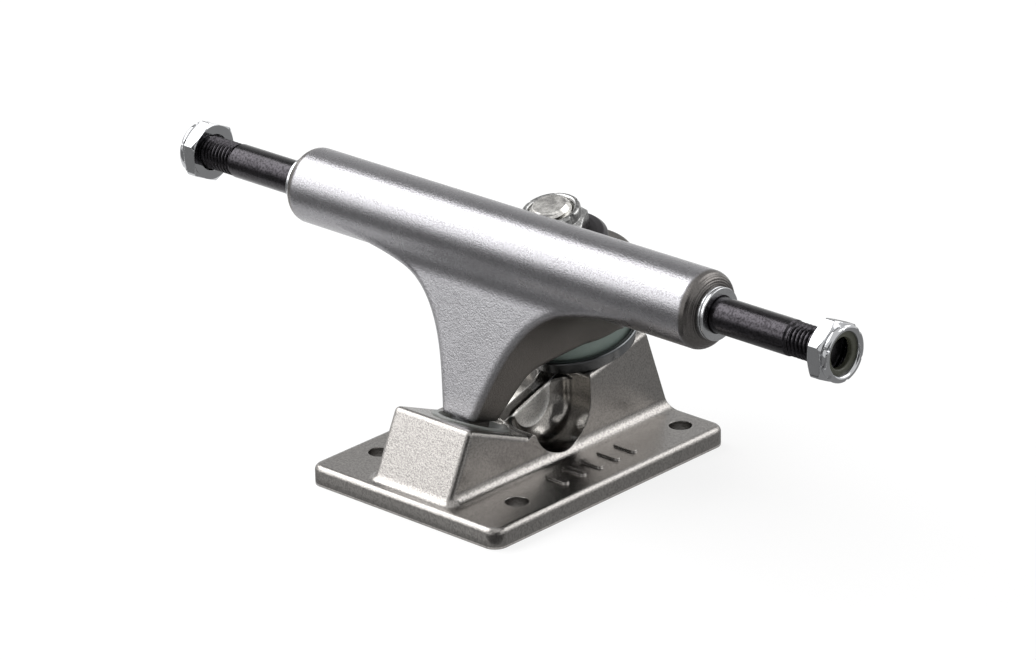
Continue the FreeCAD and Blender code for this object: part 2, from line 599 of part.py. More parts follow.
def web_and_gusset():
    """The web, its stem and the gusset in one piece, with rounded front and rear edges."""
    body = arch_prism().common(hanger_side_prism())
    side_wall = WEB_FRAME.inverse()
    stack = KINGPIN_FRAME.inverse()

    def along_front(edge, middle):
        spot = side_wall.multVec(middle)
        return (spot.z < -ARCH_RISE and spot.y < -WEB_FACE_OFFSET + RUN_CLEARANCE
                and abs(middle.x) > STEM_WIDTH / 4)

    def along_rear(edge, middle):
        spot = side_wall.multVec(middle)
        return (-STEM_LENGTH + RUN_CLEARANCE < spot.z < -STEM_LENGTH / 3 and abs(middle.x) > STEM_WIDTH / 4
                and spot.y > -WEB_FACE_OFFSET + STEM_DEPTH / 2
                and stack.multVec(middle).y < -RING_BOTTOM_D / 2)

    body = body.makeFillet(STEM_EDGE_R, edges_where(body, along_front))
    body = body.makeFillet(STEM_REAR_EDGE_R, edges_where(body, along_rear))
    return body.common(hanger_plan_prism())


def hanger_plan_prism():
    """Plan of the casting seen along the kingpin, narrowing from the web to the ring."""
    front = WEB_FACE_OFFSET + RING_TOP_D + BAR_D
    ring_r = RING_BOTTOM_D / 2
    shoulder = ring_r + GUSSET_FLARE
    corners = [
        (-ARCH_SPAN, -front), (ARCH_SPAN, -front), (ARCH_SPAN, -GUSSET_SHOULDER_REACH),
        (shoulder, -GUSSET_SHOULDER_REACH), (ring_r, 0), (-ring_r, 0),
        (-shoulder, -GUSSET_SHOULDER_REACH), (-ARCH_SPAN, -GUSSET_SHOULDER_REACH)]
    spots = [V(x, y, -SEAT_HEIGHT) for x, y in corners]
    prism = Part.Face(Part.makePolygon(spots + spots[:1])).extrude(V(0, 0, SEAT_HEIGHT + 2 * AXLE_HEIGHT))
    return placed(prism, KINGPIN_FRAME)


def crossbar():
    """The round bar along the axle with its rounded ends."""
    face_r = BAR_END_FACE_D / 2
    middle_r = BAR_R - BAR_END_ROUND * (1 - math.sqrt(0.5)) * (BAR_R - face_r) / BAR_END_ROUND
    middle_x = BAR_HALF - BAR_END_ROUND * (1 - math.sqrt(0.5))
    edges = [Part.makeLine(V(0, 0, -BAR_HALF), V(0, 0, BAR_HALF))]
    edges.append(Part.makeLine(V(0, 0, BAR_HALF), V(face_r, 0, BAR_HALF)))
    edges.append(Part.Arc(V(face_r, 0, BAR_HALF), V(middle_r, 0, middle_x),
                          V(BAR_R, 0, BAR_HALF - BAR_END_ROUND)).toShape())
    edges.append(Part.makeLine(V(BAR_R, 0, BAR_HALF - BAR_END_ROUND), V(BAR_R, 0, BAR_END_ROUND - BAR_HALF)))
    edges.append(Part.Arc(V(BAR_R, 0, BAR_END_ROUND - BAR_HALF), V(middle_r, 0, -middle_x),
                          V(face_r, 0, -BAR_HALF)).toShape())
    edges.append(Part.makeLine(V(face_r, 0, -BAR_HALF), V(0, 0, -BAR_HALF)))
    return placed(Part.Face(Part.Wire(edges)).revolve(V(0, 0, 0), Z_AXIS, 360), AXLE_FRAME)


def ring():
    """The tapered ring round the kingpin, its edges rounded."""
    blank = Part.makeCone(RING_BOTTOM_D / 2, RING_TOP_D / 2, RING_TOP - RING_BASE, V(0, 0, RING_BASE))
    rims = edges_where(blank, lambda edge, middle: edge.Curve.TypeId == "Part::GeomCircle")
    return placed(blank.makeFillet(RING_EDGE_R, rims), KINGPIN_FRAME)


def clearance_room(reach, height):
    """A room above the ring, open to the rear, that reaches forward from the kingpin's line."""
    room = Part.makeBox(POCKET_WIDTH, reach + RING_TOP_D, height, V(-POCKET_WIDTH / 2, -reach, RING_TOP))
    corners = edges_where(room, lambda edge, middle: near(middle.y, -reach)
                          and near(abs(middle.x), POCKET_WIDTH / 2))
    return room.makeFillet(POCKET_CORNER_R, corners)


def ring_openings():
    """The ring's bore, its two bushing seats and the room for the nut behind the crossbar."""
    bore = Part.makeCylinder(RING_BORE_D / 2, RING_TOP, V(0, 0, RING_BASE - OVERRUN))
    lower = Part.makeCylinder(BOTTOM_SEAT_R, BOTTOM_SEAT_DEPTH + OVERRUN, V(0, 0, RING_BASE - OVERRUN))
    upper = Part.makeCylinder(TOP_SEAT_R, TOP_SEAT_DEPTH + OVERRUN, V(0, 0, RING_WEB_TOP))
    washer_reach = TOP_WASHER_D / 2 + POCKET_CLEARANCE
    nut_reach = KINGPIN_NUT_FLATS / 2 / math.cos(math.radians(30)) + POCKET_CLEARANCE
    washer_room = clearance_room(washer_reach, KINGPIN_NUT_BASE + POCKET_CLEARANCE - RING_TOP)
    nut_room = clearance_room(nut_reach, AXLE_HEIGHT)
    rooms = bore.fuse(lower).fuse(upper).fuse(washer_room).fuse(nut_room)
    return placed(rooms, KINGPIN_FRAME)


def hanger():
    """The whole casting: crossbar, web, gusset, ring, neck and ball."""
    body = web_and_gusset().fuse(crossbar()).fuse(ring())
    stem_end = V(0, STEM_CENTRE, -STEM_LENGTH)
    neck_start = stem_end + V(0, 0, NECK_D / 2)
    ball_local = WEB_FRAME.inverse().multVec(BALL_CENTRE)
    neck = Part.makeCylinder(NECK_D / 2, neck_start.z - ball_local.z, ball_local)
    ball = Part.makeSphere(BALL_R, ball_local)
    body = body.fuse(placed(neck.fuse(ball), WEB_FRAME))
    body = body.cut(ring_openings())
    grip_r = AXLE_GRIP_D / 2 + GRIP_CLEARANCE
    grip = Part.makeCylinder(grip_r, BAR_LENGTH + 2 * OVERRUN, V(0, 0, -BAR_HALF - OVERRUN))
    return body.cut(placed(grip, AXLE_FRAME)).removeSplitter()


# Axle, nuts and washers

def axle():
    """One rod with a gripped middle, plain journals and a thread at each end."""
    grip_end = BAR_HALF + 2 * WASHER_T
    thread_r = AXLE_THREAD_D / 2
    groove_r = AXLE_R - AXLE_GROOVE_DEPTH
    outline = [
        (AXLE_GRIP_D / 2, 0), (AXLE_GRIP_D / 2, grip_end), (AXLE_R, grip_end), (AXLE_R, AXLE_SHOULDER),
        (groove_r, AXLE_SHOULDER + AXLE_GROOVE_DEPTH), (groove_r, AXLE_SHOULDER + AXLE_GROOVE),
        (thread_r, AXLE_SHOULDER + AXLE_GROOVE + AXLE_GROOVE_DEPTH), (thread_r, AXLE_END - AXLE_END_CHAMFER),
        (thread_r - AXLE_END_CHAMFER, AXLE_END), (0, AXLE_END)]
    lower = [(radius, -height) for radius, height in reversed(outline)]
    return placed(revolved(lower[:-1] + outline[1:]), AXLE_FRAME)


def on_axle(shape, side):
    """Places a shape from its own Z onto the axle, facing outwards on the given side."""
    outward = FreeCAD.Rotation(Y_AXIS, 90 * side)
    return placed(shape, FreeCAD.Placement(V(0, AXLE_Y, AXLE_HEIGHT), outward))


def axle_nut(side):
    """A thin locking nut with its seat at AXLE_NUT_SEAT."""
    nut = locking_nut(AXLE_NUT_FLATS, AXLE_NUT_HEIGHT, AXLE_NUT_COLLAR_D, AXLE_NUT_COLLAR_HEIGHT,
                      AXLE_THREAD_D, AXLE_INSERT_D, AXLE_INSERT_LENGTH, side * AXLE_NUT_TURN)
    nut.translate(V(0, 0, AXLE_NUT_SEAT))
    return on_axle(nut, side)


def axle_nut_insert(side):
    """The nylon ring crimped into an axle nut."""
    base = AXLE_NUT_SEAT + AXLE_NUT_HEIGHT - NUT_LIP_T - AXLE_INSERT_LENGTH
    return on_axle(tube(AXLE_INSERT_D, AXLE_INSERT_BORE_D, base, AXLE_INSERT_LENGTH), side)


def speed_washer(side, place):
    """One flat washer, place 0 against the crossbar and place 1 outside it."""
    base = BAR_HALF + place * WASHER_T
    bore = AXLE_GRIP_D / 2 + RUN_CLEARANCE
    rim = WASHER_D / 2
    return on_axle(revolved([
        (bore, base), (rim - WASHER_EDGE, base), (rim, base + WASHER_EDGE),
        (rim, base + WASHER_T - WASHER_EDGE), (rim - WASHER_EDGE, base + WASHER_T),
        (bore, base + WASHER_T)]), side)


NODES = {
    "baseplate": baseplate(),
    "pivot_cup": pivot_cup(),
    "kingpin": kingpin(),
    "bottom_washer": bottom_washer(),
    "bottom_bushing": bottom_bushing(),
    "top_bushing": top_bushing(),
    "top_washer": top_washer(),
    "kingpin_nut": kingpin_nut(),
    "kingpin_nut_insert": kingpin_nut_insert(),
    "hanger": hanger(),
    "axle": axle(),
}
for name, side in (("left", -1), ("right", 1)):
    NODES["axle_nut_" + name] = axle_nut(side)
    NODES["axle_nut_insert_" + name] = axle_nut_insert(side)
    NODES["speed_washer_inner_" + name] = speed_washer(side, 0)
    NODES["speed_washer_outer_" + name] = speed_washer(side, 1)

for node, shape in NODES.items():
    shape.exportStep("parts/" + node + ".step")
    print(node, "valid", shape.isValid(), "solids", len(shape.Solids), "volume", round(shape.Volume, 1))

RING_CENTRE = KINGPIN_FRAME.multVec(V(0, 0, (RING_WEB_BASE + RING_WEB_TOP) / 2))
PIVOT_LINE = (RING_CENTRE - BALL_CENTRE).normalize()
print("ball centre", BALL_CENTRE, "ring centre", RING_CENTRE, "pivot line", PIVOT_LINE)
print("kingpin line", KINGPIN_FRAME.Rotation.multVec(Z_AXIS))
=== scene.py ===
"""Looks of the skateboard truck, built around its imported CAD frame.

Lengths in the classes are in millimetres and angles in degrees; finished meshes are in metres.
"""

import json
import logging
from dataclasses import dataclass
from enum import Enum
from math import atan2, ceil, cos, pi, radians, sin, tan
from typing import Callable

import bmesh
import bpy
from mathutils import Matrix, Vector

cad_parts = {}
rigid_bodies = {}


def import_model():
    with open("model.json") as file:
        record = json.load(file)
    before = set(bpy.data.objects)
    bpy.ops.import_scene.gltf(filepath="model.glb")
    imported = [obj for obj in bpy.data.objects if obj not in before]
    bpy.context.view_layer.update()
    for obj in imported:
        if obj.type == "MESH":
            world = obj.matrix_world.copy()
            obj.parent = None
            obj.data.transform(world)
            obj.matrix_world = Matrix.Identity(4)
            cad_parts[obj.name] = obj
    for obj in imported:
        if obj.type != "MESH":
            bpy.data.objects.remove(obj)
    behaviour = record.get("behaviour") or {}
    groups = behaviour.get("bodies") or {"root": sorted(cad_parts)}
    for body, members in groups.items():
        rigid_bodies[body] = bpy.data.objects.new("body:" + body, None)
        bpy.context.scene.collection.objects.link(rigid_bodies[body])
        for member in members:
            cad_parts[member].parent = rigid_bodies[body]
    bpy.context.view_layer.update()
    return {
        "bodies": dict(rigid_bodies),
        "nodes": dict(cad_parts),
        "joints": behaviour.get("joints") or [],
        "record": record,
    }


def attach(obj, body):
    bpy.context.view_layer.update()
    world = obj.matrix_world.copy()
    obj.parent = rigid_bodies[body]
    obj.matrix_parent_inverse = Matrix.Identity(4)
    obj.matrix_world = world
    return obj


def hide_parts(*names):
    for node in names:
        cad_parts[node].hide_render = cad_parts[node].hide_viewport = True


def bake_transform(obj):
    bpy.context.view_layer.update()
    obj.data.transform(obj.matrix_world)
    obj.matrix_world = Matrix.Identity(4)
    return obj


LOG = logging.getLogger("truck")
MM = 0.001

# Vertices nearer than this are one, in millimetres.
WELD = 1e-4
# Vertices nearer to a cut than this lie on it.
ON_CUT = 1e-6
# An edge sharper than this stays sharp.
SHARP_ANGLE = radians(32)
HEX_HALF = radians(30)
HEX_STEP = radians(60)
# A hexagon's rounded corners reach this share of the sharp ones.
CORNER_SHARE = 0.988
# Twenty-four turns to the inch, as on the kingpin and the axle.
PITCH_24 = 1.058
# One pitch of a thread's outline: share of the pitch, and whether it lies on the crest.
THREAD_FORM = ((0.0, False), (0.12, False), (0.44, True), (0.56, True), (0.88, False))

# Noise values where a pit of the grain ends and where its rim is reached.
PITS = (0.38, 0.56)
# Share of a roughness that the patches vary.
WEAR = 0.5
NOISE_ROUGHNESS = 0.6
EDGE_SAMPLES = 6

# Local frames of the row, as in the CAD. Z runs along the kingpin, up the web's front face or
# along the cup's axis.
KINGPIN = Matrix.Translation((0, 16.3, 22.9)) @ Matrix.Rotation(radians(14), 4, "X")
AXLE_CENTRE = Vector((0, -7.07, 53.0))
WEB = Matrix.Translation(AXLE_CENTRE) @ Matrix.Rotation(radians(-17.2), 4, "X")
CUP = Matrix.Translation((0, -20.9088, 11.1685)) @ Matrix.Rotation(radians(-22), 4, "X")


class Side(Enum):
    """The two ends of the axle."""

    LEFT = -1
    RIGHT = 1

    @property
    def frame(self) -> Matrix:
        """The axle's frame with Z outwards on this side."""
        return Matrix.Translation(AXLE_CENTRE) @ Matrix.Rotation(radians(90 * self.value), 4, "Y")

    @property
    def word(self) -> str:
        """The side's name in node and body names."""
        return self.name.lower()


# Node trees

Tree = bpy.types.NodeTree
Node = bpy.types.Node
Socket = bpy.types.NodeSocket
Source = Node | Socket

# The kind and the settings of the nodes that come often.
MATHS = "ShaderNodeMath"
TIMES = {"operation": "MULTIPLY"}
TIMES_PLUS = {"operation": "MULTIPLY_ADD"}
LESS = {"operation": "SUBTRACT"}
LARGER = {"operation": "MAXIMUM"}
UNSIGNED = {"operation": "ABSOLUTE"}
SINE = {"operation": "SINE"}


def add(tree: Tree, kind: str, settings: dict | None = None, links: dict | None = None) -> Node:
    """Adds one node to a tree.

    Args:
        tree: The tree that receives the node.
        kind: The node's type name.
        settings: Values by property name, input name or input index.
        links: Output sockets, or nodes for their first output, by the input that they feed.

    Returns:
        The new node.
    """
    node = tree.nodes.new(kind)
    for key, value in (settings or {}).items():
        if isinstance(key, int) or key in node.inputs:
            node.inputs[key].default_value = value
        else:
            setattr(node, key, value)
    for key, source in (links or {}).items():
        socket = source.outputs[0] if isinstance(source, Node) else source
        tree.links.new(socket, node.inputs[key])
    return node


def colour(code: str) -> tuple[float, float, float, float]:
    """Linear RGBA from an sRGB hex code."""
    parts = [int(code[i:i + 2], 16) / 255 for i in (1, 3, 5)]
    linear = [c / 12.92 if c <= 0.04045 else ((c + 0.055) / 1.055) ** 2.4 for c in parts]
    return (*linear, 1.0)


def step(tree: Tree, value: Source, low: float, high: float) -> Node:
    """A smooth rise from 0 at low to 1 at high; with low above high it falls."""
    least, most = sorted((low, high))
    settings = {"interpolation_type": "SMOOTHSTEP", "From Min": least, "From Max": most}
    rise = add(tree, "ShaderNodeMapRange", settings, {"Value": value})
    return rise if low < high else add(tree, MATHS, LESS | {0: 1.0}, {1: rise})


def blank_material(name: str) -> bpy.types.Material:
    """A new material whose tree is empty."""
    made = bpy.data.materials.new(name)
    made.use_nodes = True
    made.node_tree.nodes.clear()
    return made


def length(tree: Tree, one: Source, other: Source) -> Node:
    """The length of a flat vector from its two parts."""
    squares = [add(tree, MATHS, TIMES, {0: part, 1: part}) for part in (one, other)]
    total = add(tree, MATHS, {"operation": "ADD"}, dict(enumerate(squares)))
    return add(tree, MATHS, {"operation": "SQRT"}, {0: total})


@dataclass(frozen=True)
class Local:
    """Coordinates of the shaded point in a local frame, in millimetres."""

    x: Socket
    y: Socket
    z: Socket
    vector: Socket

    @classmethod
    def read(cls, tree: Tree, frame: Matrix | None = None) -> "Local":
        """Reads Object coordinates and carries them into the frame.

        Args:
            tree: The material's tree.
            frame: The local frame in the row, or None for the row frame itself.

        Returns:
            The coordinates.
        """
        point = add(tree, "ShaderNodeTexCoord").outputs["Object"]
        in_mm = {"operation": "SCALE", "Scale": 1 / MM}
        point = add(tree, "ShaderNodeVectorMath", in_mm, {0: point}).outputs[0]
        if frame is not None:
            offset = {"operation": "SUBTRACT", 1: frame.translation}
            shift = add(tree, "ShaderNodeVectorMath", offset, {0: point})
            turn = {"rotation_type": "EULER_XYZ", "Rotation": frame.inverted().to_euler()}
            point = add(tree, "ShaderNodeVectorRotate", turn,
                        {"Vector": shift.outputs[0]}).outputs[0]
        split = add(tree, "ShaderNodeSeparateXYZ", links={0: point})
        return cls(*split.outputs[:3], point)

    def noise(self, tree: Tree, size_mm: float, detail: float = 3.0,
              stretch: float = 1.0) -> Socket:
        """Noise of the grain size, 0 to 1 about 0.5, drawn out along local X by the stretch."""
        settings = {"Scale": 1 / size_mm, "Detail": detail, "Roughness": NOISE_ROUGHNESS}
        squeeze = {"operation": "MULTIPLY", 1: (1 / stretch, 1, 1)}
        point = add(tree, "ShaderNodeVectorMath", squeeze, {0: self.vector}).outputs[0]
        return add(tree, "ShaderNodeTexNoise", settings, {"Vector": point}).outputs["Fac"]

    def radius(self, tree: Tree) -> Node:
        """Distance from the local Z axis."""
        return length(tree, self.x, self.y)


# Finishes

@dataclass(frozen=True)
class Finish:
    """A finish with fine grain, broad tone changes and worn roughness."""

    name: str
    tint: str
    roughness: float
    metallic: float = 1.0
    grain_mm: float = 0.3
    grain_depth: float = 0.004
    grain_tone: float = 0.12
    patch_mm: float = 7.0
    patch_tone: float = 0.08
    edge_round: float = 0.0

    def material(self) -> bpy.types.Material:
        """Builds the material."""
        made = blank_material(self.name)
        tree = made.node_tree
        shader = add(tree, "ShaderNodeBsdfPrincipled", {
            "Base Color": colour(self.tint), "Metallic": self.metallic,
            "Roughness": self.roughness})
        self.dress(tree, shader)
        add(tree, "ShaderNodeOutputMaterial", links={"Surface": shader.outputs["BSDF"]})
        return made

    def dress(self, tree: Tree, shader: Node) -> None:
        """Gives the shader its grain, tone and wear."""
        point = Local.read(tree)
        grain = point.noise(tree, self.grain_mm)
        patch = point.noise(tree, self.patch_mm)
        self.shade(tree, shader, colour(self.tint), self.tone(tree, grain, patch))
        self.wear(tree, shader, patch)
        self.relief(tree, shader, grain, self.grain_depth)

    def tone(self, tree: Tree, grain: Source, patch: Socket) -> Node:
        """Brightness factor, about 1 between the pits of the grain and less in them."""
        pitted = TIMES_PLUS | {1: self.grain_tone, 2: 1 - self.grain_tone}
        fine = add(tree, MATHS, pitted, {0: step(tree, grain, *PITS)})
        patchy = TIMES_PLUS | {1: 2 * self.patch_tone, 2: 1 - self.patch_tone}
        broad = add(tree, MATHS, patchy, {0: patch})
        return add(tree, MATHS, TIMES, {0: fine, 1: broad})

    def zoned(self, tree: Tree, zones: tuple[tuple[str, Node], ...]) -> Socket:
        """The finish's tint, with each zone's own laid over it where its factor is 1."""
        base, links = {6: colour(self.tint)}, {}
        for tint, zone in zones:
            settings = {"data_type": "RGBA", 7: colour(tint)} | base
            mixed = add(tree, "ShaderNodeMix", settings, {0: zone} | links).outputs[2]
            base, links = {}, {6: mixed}
        return mixed

    def shade(self, tree: Tree, shader: Node, base: Socket | tuple, tone: Node) -> None:
        """Feeds the base colour times the tone to the shader."""
        settings: dict = {"operation": "SCALE"}
        links: dict = {"Scale": tone}
        if isinstance(base, Socket):
            links[0] = base
        else:
            settings[0] = base[:3]
        result = add(tree, "ShaderNodeVectorMath", settings, links).outputs[0]
        tree.links.new(result, shader.inputs["Base Color"])

    def worn(self, tree: Tree, patch: Socket) -> Node:
        """The roughness, varied by a quarter up and down over the patches."""
        least = self.roughness * (1 - WEAR / 2)
        return add(tree, MATHS, TIMES_PLUS | {1: self.roughness * WEAR, 2: least}, {0: patch})

    def wear(self, tree: Tree, shader: Node, patch: Socket) -> None:
        """Feeds the varied roughness to the shader."""
        tree.links.new(self.worn(tree, patch).outputs[0], shader.inputs["Roughness"])

    def relief(self, tree: Tree, shader: Node, height: Source, depth: float) -> None:
        """Feeds a bump of the height in millimetres to the shader."""
        links = {"Height": height}
        if self.edge_round:
            rounding = {"samples": EDGE_SAMPLES, "Radius": self.edge_round * MM}
            soft = add(tree, "ShaderNodeBevel", rounding)
            links["Normal"] = soft.outputs["Normal"]
        bump = add(tree, "ShaderNodeBump", {"Distance": depth * MM}, links)
        tree.links.new(bump.outputs["Normal"], shader.inputs["Normal"])


@dataclass(frozen=True)
class TurnedMetal(Finish):
    """Metal with fine turning marks round a local Z axis."""

    frame: Matrix | None = None
    mark_mm: float = 0.18
    mark_depth: float = 0.003
    mark_share: float = 0.5

    def dress(self, tree: Tree, shader: Node) -> None:
        """Adds rings of the marks' spacing to the grain."""
        point = Local.read(tree, self.frame)
        grain = point.noise(tree, self.grain_mm)
        patch = point.noise(tree, self.patch_mm)
        turns = add(tree, MATHS, {"operation": "ADD"}, {0: point.radius(tree), 1: point.z})
        angle = add(tree, MATHS, TIMES | {1: 2 * pi / self.mark_mm}, {0: turns})
        wave = add(tree, MATHS, SINE, {0: angle})
        rough_wave = add(tree, MATHS, TIMES_PLUS | {1: self.mark_share}, {0: wave, 2: grain})
        self.shade(tree, shader, colour(self.tint), self.tone(tree, grain, patch))
        self.wear(tree, shader, patch)
        self.relief(tree, shader, rough_wave, self.mark_depth)


@dataclass(frozen=True)
class SoftPlastic(Finish):
    """Cast urethane or nylon with a little light under its skin."""

    metallic: float = 0.0
    scatter: float = 0.1
    scatter_mm: float = 1.5
    scatter_reach: tuple[float, float, float] = (1.0, 0.8, 0.7)

    def dress(self, tree: Tree, shader: Node) -> None:
        """Adds the scatter to the plain dressing."""
        super().dress(tree, shader)
        shader.inputs["Subsurface Weight"].default_value = self.scatter
        shader.inputs["Subsurface Radius"].default_value = self.scatter_reach
        shader.inputs["Subsurface Scale"].default_value = self.scatter_mm * MM


@dataclass(frozen=True)
class BaseCasting(Finish):
    """Tumbled cast aluminium with polished bowls darkened by painted shade, and a flat web
    between them lightened by a painted highlight.
    """

    bowl_y: float = -1.8
    bowl_z: float = 14.8
    bowl_radius: float = 9.2
    bowl_reach: float = 11.5
    # Darker tint in the bowls: painted shade for the dark reflections in these hollows.
    bowl_tint: str = "#918E8A"
    bowl_roughness: float = 0.17
    bowl_calm: float = 0.9
    rim_near: float = 0.1
    rim_far: float = 0.25
    side_near: float = 0.1
    side_far: float = 0.02
    web_face: float = 2.0
    web_near: float = 0.12
    web_far: float = 0.25
    # Lighter tint on the web's flat face inside the bowls: a painted highlight.
    web_tint: str = "#F6F4F0"
    web_roughness: float = 0.42

    def dress(self, tree: Tree, shader: Node) -> None:
        """Mixes the grainy outside, the smooth bowls and the flat web by place."""
        point = Local.read(tree)
        grain = point.noise(tree, self.grain_mm)
        patch = point.noise(tree, self.patch_mm)
        across = add(tree, MATHS, UNSIGNED, {0: point.x})
        bowl = self._bowl(tree, point, across)
        from_web = add(tree, MATHS, LESS | {1: self.web_face}, {0: across})
        beside = add(tree, MATHS, UNSIGNED, {0: from_web})
        face = step(tree, beside, self.web_far, self.web_near)
        web = add(tree, MATHS, TIMES, {0: bowl, 1: face})
        # Base colour: painted shade in the bowls and a painted highlight on the web's flat face.
        base = self.zoned(tree, ((self.bowl_tint, bowl), (self.web_tint, web)))
        self.shade(tree, shader, base, self.tone(tree, grain, patch))
        in_bowl = TIMES_PLUS | {1: self.bowl_roughness - self.roughness}
        on_web = TIMES_PLUS | {1: self.web_roughness - self.bowl_roughness}
        rough = add(tree, MATHS, in_bowl, {0: bowl, 2: self.worn(tree, patch)})
        rough = add(tree, MATHS, on_web, {0: web, 2: rough})
        tree.links.new(rough.outputs[0], shader.inputs["Roughness"])
        calmed = add(tree, MATHS, TIMES | {1: self.bowl_calm}, {0: bowl})
        left = add(tree, MATHS, LESS | {0: 1.0}, {1: calmed})
        height = add(tree, MATHS, TIMES, {0: grain, 1: left})
        self.relief(tree, shader, height, self.grain_depth)

    def _bowl(self, tree: Tree, point: Local, across: Node) -> Node:
        """1 inside the bowls, 0 outside."""
        along = add(tree, MATHS, LESS | {1: self.bowl_y}, {0: point.y})
        # Above its centre the bowl runs straight up, so only the depth below it counts.
        down = add(tree, MATHS, LESS | {1: self.bowl_z}, {0: point.z})
        down = add(tree, MATHS, {"operation": "MINIMUM", 1: 0.0}, {0: down})
        far, near = self.bowl_radius + self.rim_far, self.bowl_radius + self.rim_near
        round_bowl = step(tree, length(tree, along, down), far, near)
        far, near = self.bowl_reach - self.side_far, self.bowl_reach - self.side_near
        return add(tree, MATHS, TIMES, {0: round_bowl, 1: step(tree, across, far, near)})


@dataclass(frozen=True)
class HangerCasting(Finish):
    """Cast aluminium: sanded crossbar, coarse web face, smooth arches in painted shade and turned
    ends with a painted dark reflection.
    """

    stretch: float = 1.4
    web_grain_mm: float = 0.36
    web_grain_depth: float = 0.1
    web_grain_detail: float = 4.0
    cast_tint: str = "#A5A4A7"
    # Darker tint on the arches' inner faces: painted shade under the hanger.
    arch_tint: str = "#6C6966"
    # Darker tint on the turned ends: a painted dark reflection.
    end_tint: str = "#6A6765"
    bar_radius: float = 8.72
    bar_near: float = 0.3
    bar_far: float = 1.2
    end_start: float = 57.2
    end_full: float = 58.0
    web_start: float = -10.0
    web_full: float = -12.0
    arch_start: float = -5.2
    arch_full: float = -4.0
    extra_roughness: float = 0.06
    mark_mm: float = 0.55
    mark_depth: float = 0.03

    def dress(self, tree: Tree, shader: Node) -> None:
        """Mixes the casting's zones by place in the web's frame."""
        point = Local.read(tree, WEB)
        grain = point.noise(tree, self.grain_mm, stretch=self.stretch)
        coarse = point.noise(tree, self.web_grain_mm, detail=self.web_grain_detail)
        patch = point.noise(tree, self.patch_mm)
        from_axle = Local.read(tree, Side.RIGHT.frame).radius(tree)
        across = add(tree, MATHS, UNSIGNED, {0: point.x})
        end = step(tree, across, self.end_start, self.end_full)
        below = step(tree, point.z, self.web_start, self.web_full)
        near, far = self.bar_radius + self.bar_near, self.bar_radius + self.bar_far
        off_bar = step(tree, from_axle, near, far)
        behind = step(tree, point.y, self.arch_start, self.arch_full)
        arch = add(tree, MATHS, TIMES, {0: off_bar, 1: behind})
        cast = add(tree, MATHS, LARGER, {0: below, 1: arch})
        # Painted shade on the arches and a painted dark reflection on the ends.
        zones = ((self.cast_tint, below), (self.arch_tint, arch), (self.end_tint, end))
        pits = add(tree, "ShaderNodeMix", links={0: cast, 2: grain, 3: coarse})
        self.shade(tree, shader, self.zoned(tree, zones), self.tone(tree, pits, patch))
        varied = TIMES_PLUS | {1: self.extra_roughness}
        rough = add(tree, MATHS, varied | {2: self.roughness}, {0: cast})
        rough = add(tree, MATHS, varied, {0: patch, 2: rough})
        tree.links.new(rough.outputs[0], shader.inputs["Roughness"])
        turns = add(tree, MATHS, TIMES | {1: 2 * pi / self.mark_mm}, {0: from_axle})
        wave = add(tree, MATHS, SINE, {0: turns})
        rings = add(tree, MATHS, TIMES | {1: self.mark_depth}, {0: wave})
        sanded = add(tree, MATHS, TIMES | {1: self.grain_depth}, {0: grain})
        blasted = add(tree, MATHS, TIMES | {1: self.web_grain_depth}, {0: coarse})
        height = add(tree, "ShaderNodeMix", links={0: cast, 2: sanded, 3: blasted})
        height = add(tree, "ShaderNodeMix", links={0: end, 2: height, 3: rings})
        self.relief(tree, shader, height, 1.0)


# Grains finer than 0.3 mm on a real casting are drawn as coarse as they need to show.
# Cast and tumbled: a warm grey with pits that sparkle.
SATIN_BASE = BaseCasting("cast aluminium, tumbled", "#999693", 0.23, grain_mm=0.4,
                         grain_depth=0.06, grain_tone=0.26, edge_round=0.45)
# Cast, with a sanded bar: a cooler grey with a soft bright band along it.
SATIN_HANGER = HangerCasting("cast aluminium, satin", "#959497", 0.24, grain_mm=0.36,
                             grain_depth=0.05, grain_tone=0.2, edge_round=1.3)
# Plated and polished: sharp reflections, hardly any grain.
CHROME = Finish("chrome plating", "#B8B9BB", 0.07, grain_depth=0.0006, grain_tone=0.03,
                edge_round=0.12)
# The same, blotched with broad darker patches and duller.
BLOTCHED_CHROME = Finish("chrome plating, worn", "#A3A3A2", 0.16, grain_mm=0.5, grain_depth=0.02,
                     grain_tone=0.35, patch_mm=1.6, patch_tone=1.1, edge_round=0.15)
# Zinc plated and turned: bright with fine rings.
BRIGHT_STEEL = TurnedMetal("zinc plated steel", "#BDBEC0", 0.2, frame=Side.RIGHT.frame)
PIN_STEEL = TurnedMetal("zinc plated bolt steel", "#DAD8D4", 0.25, frame=KINGPIN, patch_mm=2.4,
                        patch_tone=1.3)
# Phosphated or rolled and left bare: dark with fine rings.
DARK_STEEL = TurnedMetal("phosphated steel", "#3C3A3C", 0.32, frame=KINGPIN)
CUP_STEEL = TurnedMetal("rolled steel", "#6A6C6E", 0.22, frame=KINGPIN)
# Blackened by hot oxide and oil: near black with a rough sheen.
BLACK_OXIDE = Finish("black oxide steel", "#3B393C", 0.23, grain_mm=0.5, grain_depth=0.02,
                     grain_tone=0.55, patch_mm=3.0, patch_tone=0.35)
# Cast urethane and moulded nylon: smooth, with a little light under the skin.
TEAL_URETHANE = SoftPlastic("cast urethane, teal grey", "#78857F", 0.38, grain_mm=1.2,
                            grain_depth=0.01, grain_tone=0.04, patch_mm=9.0)
# The pale liner's tint is darkened to a mid grey: painted shade for the shadow it sits in.
LINER_URETHANE_SHADED = SoftPlastic("cast urethane, pale", "#868986", 0.35, grain_mm=1.0,
                             grain_depth=0.008, grain_tone=0.04)
OLIVE_NYLON = SoftPlastic("nylon, olive grey", "#45463A", 0.42, grain_mm=0.5,
                          grain_depth=0.01)


# Shapes

